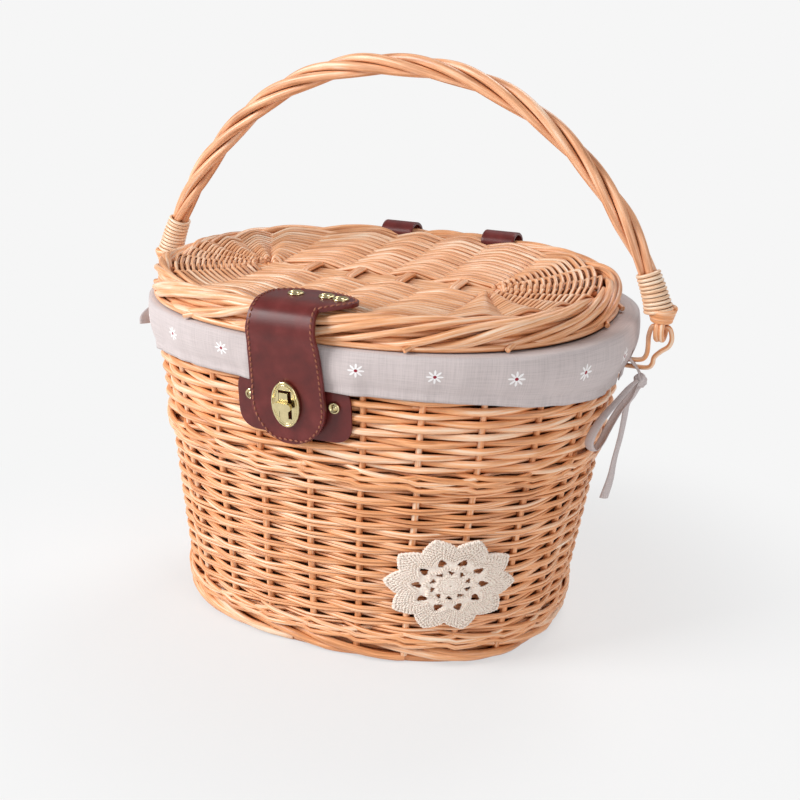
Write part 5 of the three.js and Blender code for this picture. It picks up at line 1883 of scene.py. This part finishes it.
def ribbon(name, path, side, taper, closed=False, curl=0.0012, count=70):
    """A strip of linen along a line. side points across it, one way or row by row, taper gives its
    width at shares of its length, and curl is how far its middle bows out."""
    path = np.asarray(path, float)
    line = smooth_path(np.vstack([path, path[:1]]) if closed else path, count)
    along = np.gradient(line, axis=0)
    along /= np.linalg.norm(along, axis=1, keepdims=True)
    sides = np.asarray(side, float)
    if sides.ndim == 1:
        sides = np.broadcast_to(sides, (len(path), 3))
    share = np.linspace(0, 1, count)
    at = np.linspace(0, 1, len(sides))
    across = np.column_stack([np.interp(share, at, column) for column in sides.T])
    across -= along * (across * along).sum(axis=1, keepdims=True)
    across /= np.linalg.norm(across, axis=1, keepdims=True)
    bow = np.cross(along, across)
    half = RIBBON_WIDTH / 2 * np.interp(share, *taper)
    samples = np.linspace(-1, 1, 7)
    crease = 0.35 * curl * np.sin(np.linspace(0, 9, count))
    strands = [line + across * (half * t)[:, None] + bow * ((curl * (1 - t * t) + crease * t)[:, None])
               for t in samples]
    grid = np.stack(strands, axis=1)
    piece = new_mesh_object(name, grid.reshape(-1, 3), grid_faces(count, len(samples)))
    length = running_length(np.linalg.norm(np.diff(line, axis=0), axis=1))
    u = np.tile(samples * RIBBON_WIDTH / 2, (count, 1))
    v = np.tile(length[:, None], (1, len(samples)))
    write_uv(piece, np.stack([u, v], axis=-1).reshape(-1, 2))
    piece.data.materials.append(LOOKS["ribbon"])
    thicken(piece, RIBBON_THICKNESS)
    apply_modifiers(piece)
    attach(piece, "basket")
    return piece


class BASKET_OT_ties(bpy.types.Operator):
    """Ties the liner's linen ribbons: a knot, a bow loop and a tail on the right, a short end on the left"""
    bl_idname = "basket.ties"
    bl_label = "Tie the Ribbons"

    def execute(self, context):
        knot = middle("tie_right_knot")
        start = np.array(knot)
        tail = ribbon("ribbon_tail", start + TAIL_PATH, TAIL_SIDES, TAIL_TAPER)
        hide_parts("tie_right_tail")
        loop = ribbon("ribbon_loop", start + LOOP_PATH, (0.93, -0.34, 0.06), LOOP_TAPER,
                      closed=True, curl=0.0008, count=90)
        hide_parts("tie_right_loop")
        ribbon("ribbon_band", start + BAND_PATH, (0.2, 0.75, -0.6), ([0, 1], [1.0, 0.6]), count=24)
        self.knot(knot)
        low, high = (Vector(v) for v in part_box("tie_left"))
        route = [
            (high.x - 0.0005, -0.022, high.z - 0.0012), (high.x - 0.010, -0.0235, high.z - 0.0008),
            (low.x + 0.006, -0.0255, high.z - 0.0050), (low.x + 0.0015, -0.0265, high.z - 0.0115),
            (low.x + 0.0012, -0.0270, low.z + 0.0010)]
        short = ribbon("ribbon_left", route, (0.3, 0.95, 0), ([0, 0.3, 1], [1.0, 0.8, 1.0]), count=40)
        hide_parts("tie_left")
        return {"FINISHED"}

    @staticmethod
    def knot(place):
        """The knot: a small pillow of folded cloth."""
        rows, columns = 24, 40
        polar, turn = np.meshgrid(np.linspace(0.02, pi - 0.02, rows),
                                  np.arange(columns) * 2 * pi / columns, indexing="ij")
        puckers = 0.10 * np.sin(3 * turn + 4 * polar) * np.sin(polar)
        size = KNOT_RADIUS * (1 + puckers + 0.05 * np.sin(7 * turn - 6 * polar))
        x = size * np.sin(polar) * np.cos(turn) * 0.85
        y = size * np.sin(polar) * np.sin(turn)
        grid = np.stack([x, y, size * np.cos(polar) * 1.02], axis=-1)
        poles = [(0, 0, KNOT_RADIUS), (0, 0, -KNOT_RADIUS)]
        points = np.vstack([grid.reshape(-1, 3), poles]) + np.array(place)
        faces = [tuple(f) for f in grid_faces(rows, columns, close_columns=True)]
        top, bottom = rows * columns, rows * columns + 1
        faces += [(top, (c + 1) % columns, c) for c in range(columns)]
        last = (rows - 1) * columns
        faces += [(bottom, last + c, last + (c + 1) % columns) for c in range(columns)]
        piece = new_mesh_object("ribbon_knot", points, faces)
        face_out(piece)
        write_uv(piece, points[:, 1:])
        piece.data.materials.append(LOOKS["ribbon"])
        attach(piece, "basket")
        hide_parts("tie_right_knot")


# Stage

CAMERA_AZIMUTH = radians(24.25)
CAMERA_ELEVATION = radians(19.15)
CAMERA_DISTANCE = 0.9418
CAMERA_FOCAL_PIXELS = 1303.7
CAMERA_ROLL = radians(0.74)
CAMERA_TARGET = Vector((0.0137, 0.0058, 0.1495))
IMAGE_SIZE = 800
SENSOR = 36.0
BACKDROP = 0.9216
FLOOR_SIZE = 6.0
LAMPS_AIM = Vector((0, 0, 0.15))
LAMPS = (
    ("Key", (-1.3, -1.25, 1.2), 0.9, 40.0),
    ("Fill", (1.7, -1.0, 0.8), 1.0, 10.0),
    ("Back", (0.2, 1.2, 1.7), 0.8, 14.0),
)


class BASKET_OT_stage(bpy.types.Operator):
    """Lays the pale floor and sets the lamps and the camera"""
    bl_idname = "basket.stage"
    bl_label = "Set the Stage"

    def execute(self, context):
        scene = context.scene
        scene.view_settings.view_transform = "Standard"
        self.floor()
        self.lamps(scene)
        self.camera(scene)
        return {"FINISHED"}

    @staticmethod
    def floor():
        """A floor that shows a soft shadow near the basket and fades to the backdrop's white further out."""
        size = FLOOR_SIZE
        points = [(-size, -size, 0), (size, -size, 0), (size, size, 0), (-size, size, 0)]
        piece = new_mesh_object("floor", points, [(0, 1, 2, 3)], smooth=False)
        made = bpy.data.materials.new("Pale Floor")
        made.use_nodes = True
        made.node_tree.nodes.clear()
        w = Wiring(made.node_tree, ends=False)
        matt = w.add("ShaderNodeBsdfPrincipled")
        matt.inputs["Base Color"].default_value = (0.84, 0.84, 0.84, 1)
        matt.inputs["Roughness"].default_value = 0.95
        matt.inputs["Specular IOR Level"].default_value = 0.0
        glow = w.add("ShaderNodeEmission", Color=(BACKDROP, BACKDROP, BACKDROP, 1))
        length = w.add("ShaderNodeVectorMath", {"operation": "LENGTH"})
        w.link(object_place(w), length.inputs[0])
        fade = w.add("ShaderNodeMapRange", {"interpolation_type": "SMOOTHSTEP"},
                     Value=w.out(length, "Value"), From_Min=0.18, From_Max=0.42, To_Min=0.62, To_Max=1.0)
        path = w.add("ShaderNodeLightPath")
        seen = maths(w, "MAXIMUM", path.outputs["Is Camera Ray"],
                     maths(w, "MAXIMUM", path.outputs["Is Glossy Ray"], path.outputs["Is Transmission Ray"]))
        blend = w.add("ShaderNodeMixShader")
        w.link(maths(w, "MULTIPLY", w.out(fade), seen), blend.inputs[0])
        w.link(matt.outputs[0], blend.inputs[1])
        w.link(glow.outputs[0], blend.inputs[2])
        output = w.add("ShaderNodeOutputMaterial")
        w.link(blend.outputs[0], output.inputs["Surface"])
        piece.data.materials.append(made)

    @staticmethod
    def lamps(scene):
        """A pale room that the camera sees as the backdrop, and three lamps."""
        world = bpy.data.worlds.new("Studio")
        scene.world = world
        world.use_nodes = True
        world.node_tree.nodes.clear()
        w = Wiring(world.node_tree, ends=False)
        path = w.add("ShaderNodeLightPath")
        room = w.add("ShaderNodeBackground", Color=(0.92, 0.93, 0.95, 1), Strength=0.36)
        seen = w.add("ShaderNodeBackground", Color=(BACKDROP, BACKDROP, BACKDROP, 1), Strength=1.0)
        either = maths(w, "MAXIMUM", path.outputs["Is Camera Ray"], path.outputs["Is Transmission Ray"])
        choose = w.add("ShaderNodeMixShader")
        out = w.add("ShaderNodeOutputWorld")
        w.link(either, choose.inputs[0])
        w.link(room.outputs[0], choose.inputs[1])
        w.link(seen.outputs[0], choose.inputs[2])
        w.link(choose.outputs[0], out.inputs["Surface"])
        for name, place, size, power in LAMPS:
            data = bpy.data.lights.new(name, "AREA")
            data.energy = power
            data.size = size
            lamp = bpy.data.objects.new(name, data)
            lamp.location = place
            lamp.rotation_euler = (LAMPS_AIM - Vector(place)).to_track_quat("-Z", "Y").to_euler()
            scene.collection.objects.link(lamp)

    @staticmethod
    def camera(scene):
        """The camera fitted to the photo."""
        data = bpy.data.cameras.new("Camera")
        data.sensor_width = SENSOR
        data.sensor_fit = "HORIZONTAL"
        data.lens = CAMERA_FOCAL_PIXELS * SENSOR / IMAGE_SIZE
        data.clip_start = 0.05
        data.clip_end = 60
        lens = bpy.data.objects.new("Camera", data)
        a, e = CAMERA_AZIMUTH, CAMERA_ELEVATION
        back = Vector((sin(a) * cos(e), -cos(a) * cos(e), sin(e)))
        right = Vector((cos(a), sin(a), 0))
        up = back.cross(right)
        right_rolled = right * cos(CAMERA_ROLL) + up * sin(CAMERA_ROLL)
        up_rolled = up * cos(CAMERA_ROLL) - right * sin(CAMERA_ROLL)
        turn = Matrix((right_rolled, up_rolled, back)).transposed().to_4x4()
        turn.translation = CAMERA_TARGET + back * CAMERA_DISTANCE
        lens.matrix_world = turn
        scene.collection.objects.link(lens)
        scene.camera = lens


class BASKET_PT_panel(bpy.types.Panel):
    bl_idname = "BASKET_PT_panel"
    bl_label = "Wicker Basket"
    bl_space_type = "VIEW_3D"
    bl_region_type = "UI"
    bl_category = "Basket"

    def draw(self, context):
        layout = self.layout
        for settings in GROUPS_OF_SETTINGS:
            group = getattr(context.scene, settings)
            column = layout.column(align=True)
            for name in group.__annotations__:
                column.prop(group, name)
        for operator in OPERATORS:
            layout.operator(operator.bl_idname)


GROUPS_OF_SETTINGS = {
    "basket_weave": BASKET_PG_weave,
    "basket_lid": BASKET_PG_lid,
    "basket_soft": BASKET_PG_soft,
    "basket_trim": BASKET_PG_trim,
}
OPERATORS = (
    BASKET_OT_stage, BASKET_OT_upper_wall, BASKET_OT_lower_wall, BASKET_OT_waling, BASKET_OT_stakes,
    BASKET_OT_foot, BASKET_OT_base, BASKET_OT_lid_weave, BASKET_OT_lid_sticks, BASKET_OT_lid_spine,
    BASKET_OT_lid_border, BASKET_OT_handle, BASKET_OT_liner, BASKET_OT_flap, BASKET_OT_leather_trim,
    BASKET_OT_brass, BASKET_OT_plain_willow, BASKET_OT_doily, BASKET_OT_ties,
)


def register():
    for group in GROUPS_OF_SETTINGS.values():
        bpy.utils.register_class(group)
    for name, group in GROUPS_OF_SETTINGS.items():
        setattr(bpy.types.Scene, name, bpy.props.PointerProperty(type=group))
    for operator in OPERATORS:
        bpy.utils.register_class(operator)
    bpy.utils.register_class(BASKET_PT_panel)


def unregister():
    bpy.utils.unregister_class(BASKET_PT_panel)
    for operator in reversed(OPERATORS):
        bpy.utils.unregister_class(operator)
    for name, group in GROUPS_OF_SETTINGS.items():
        delattr(bpy.types.Scene, name)
        bpy.utils.unregister_class(group)


def main():
    register()
    make_looks()
    for operator in OPERATORS:
        area, name = operator.bl_idname.split(".")
        getattr(getattr(bpy.ops, area), name)()


if __name__ == "__main__":
    main()
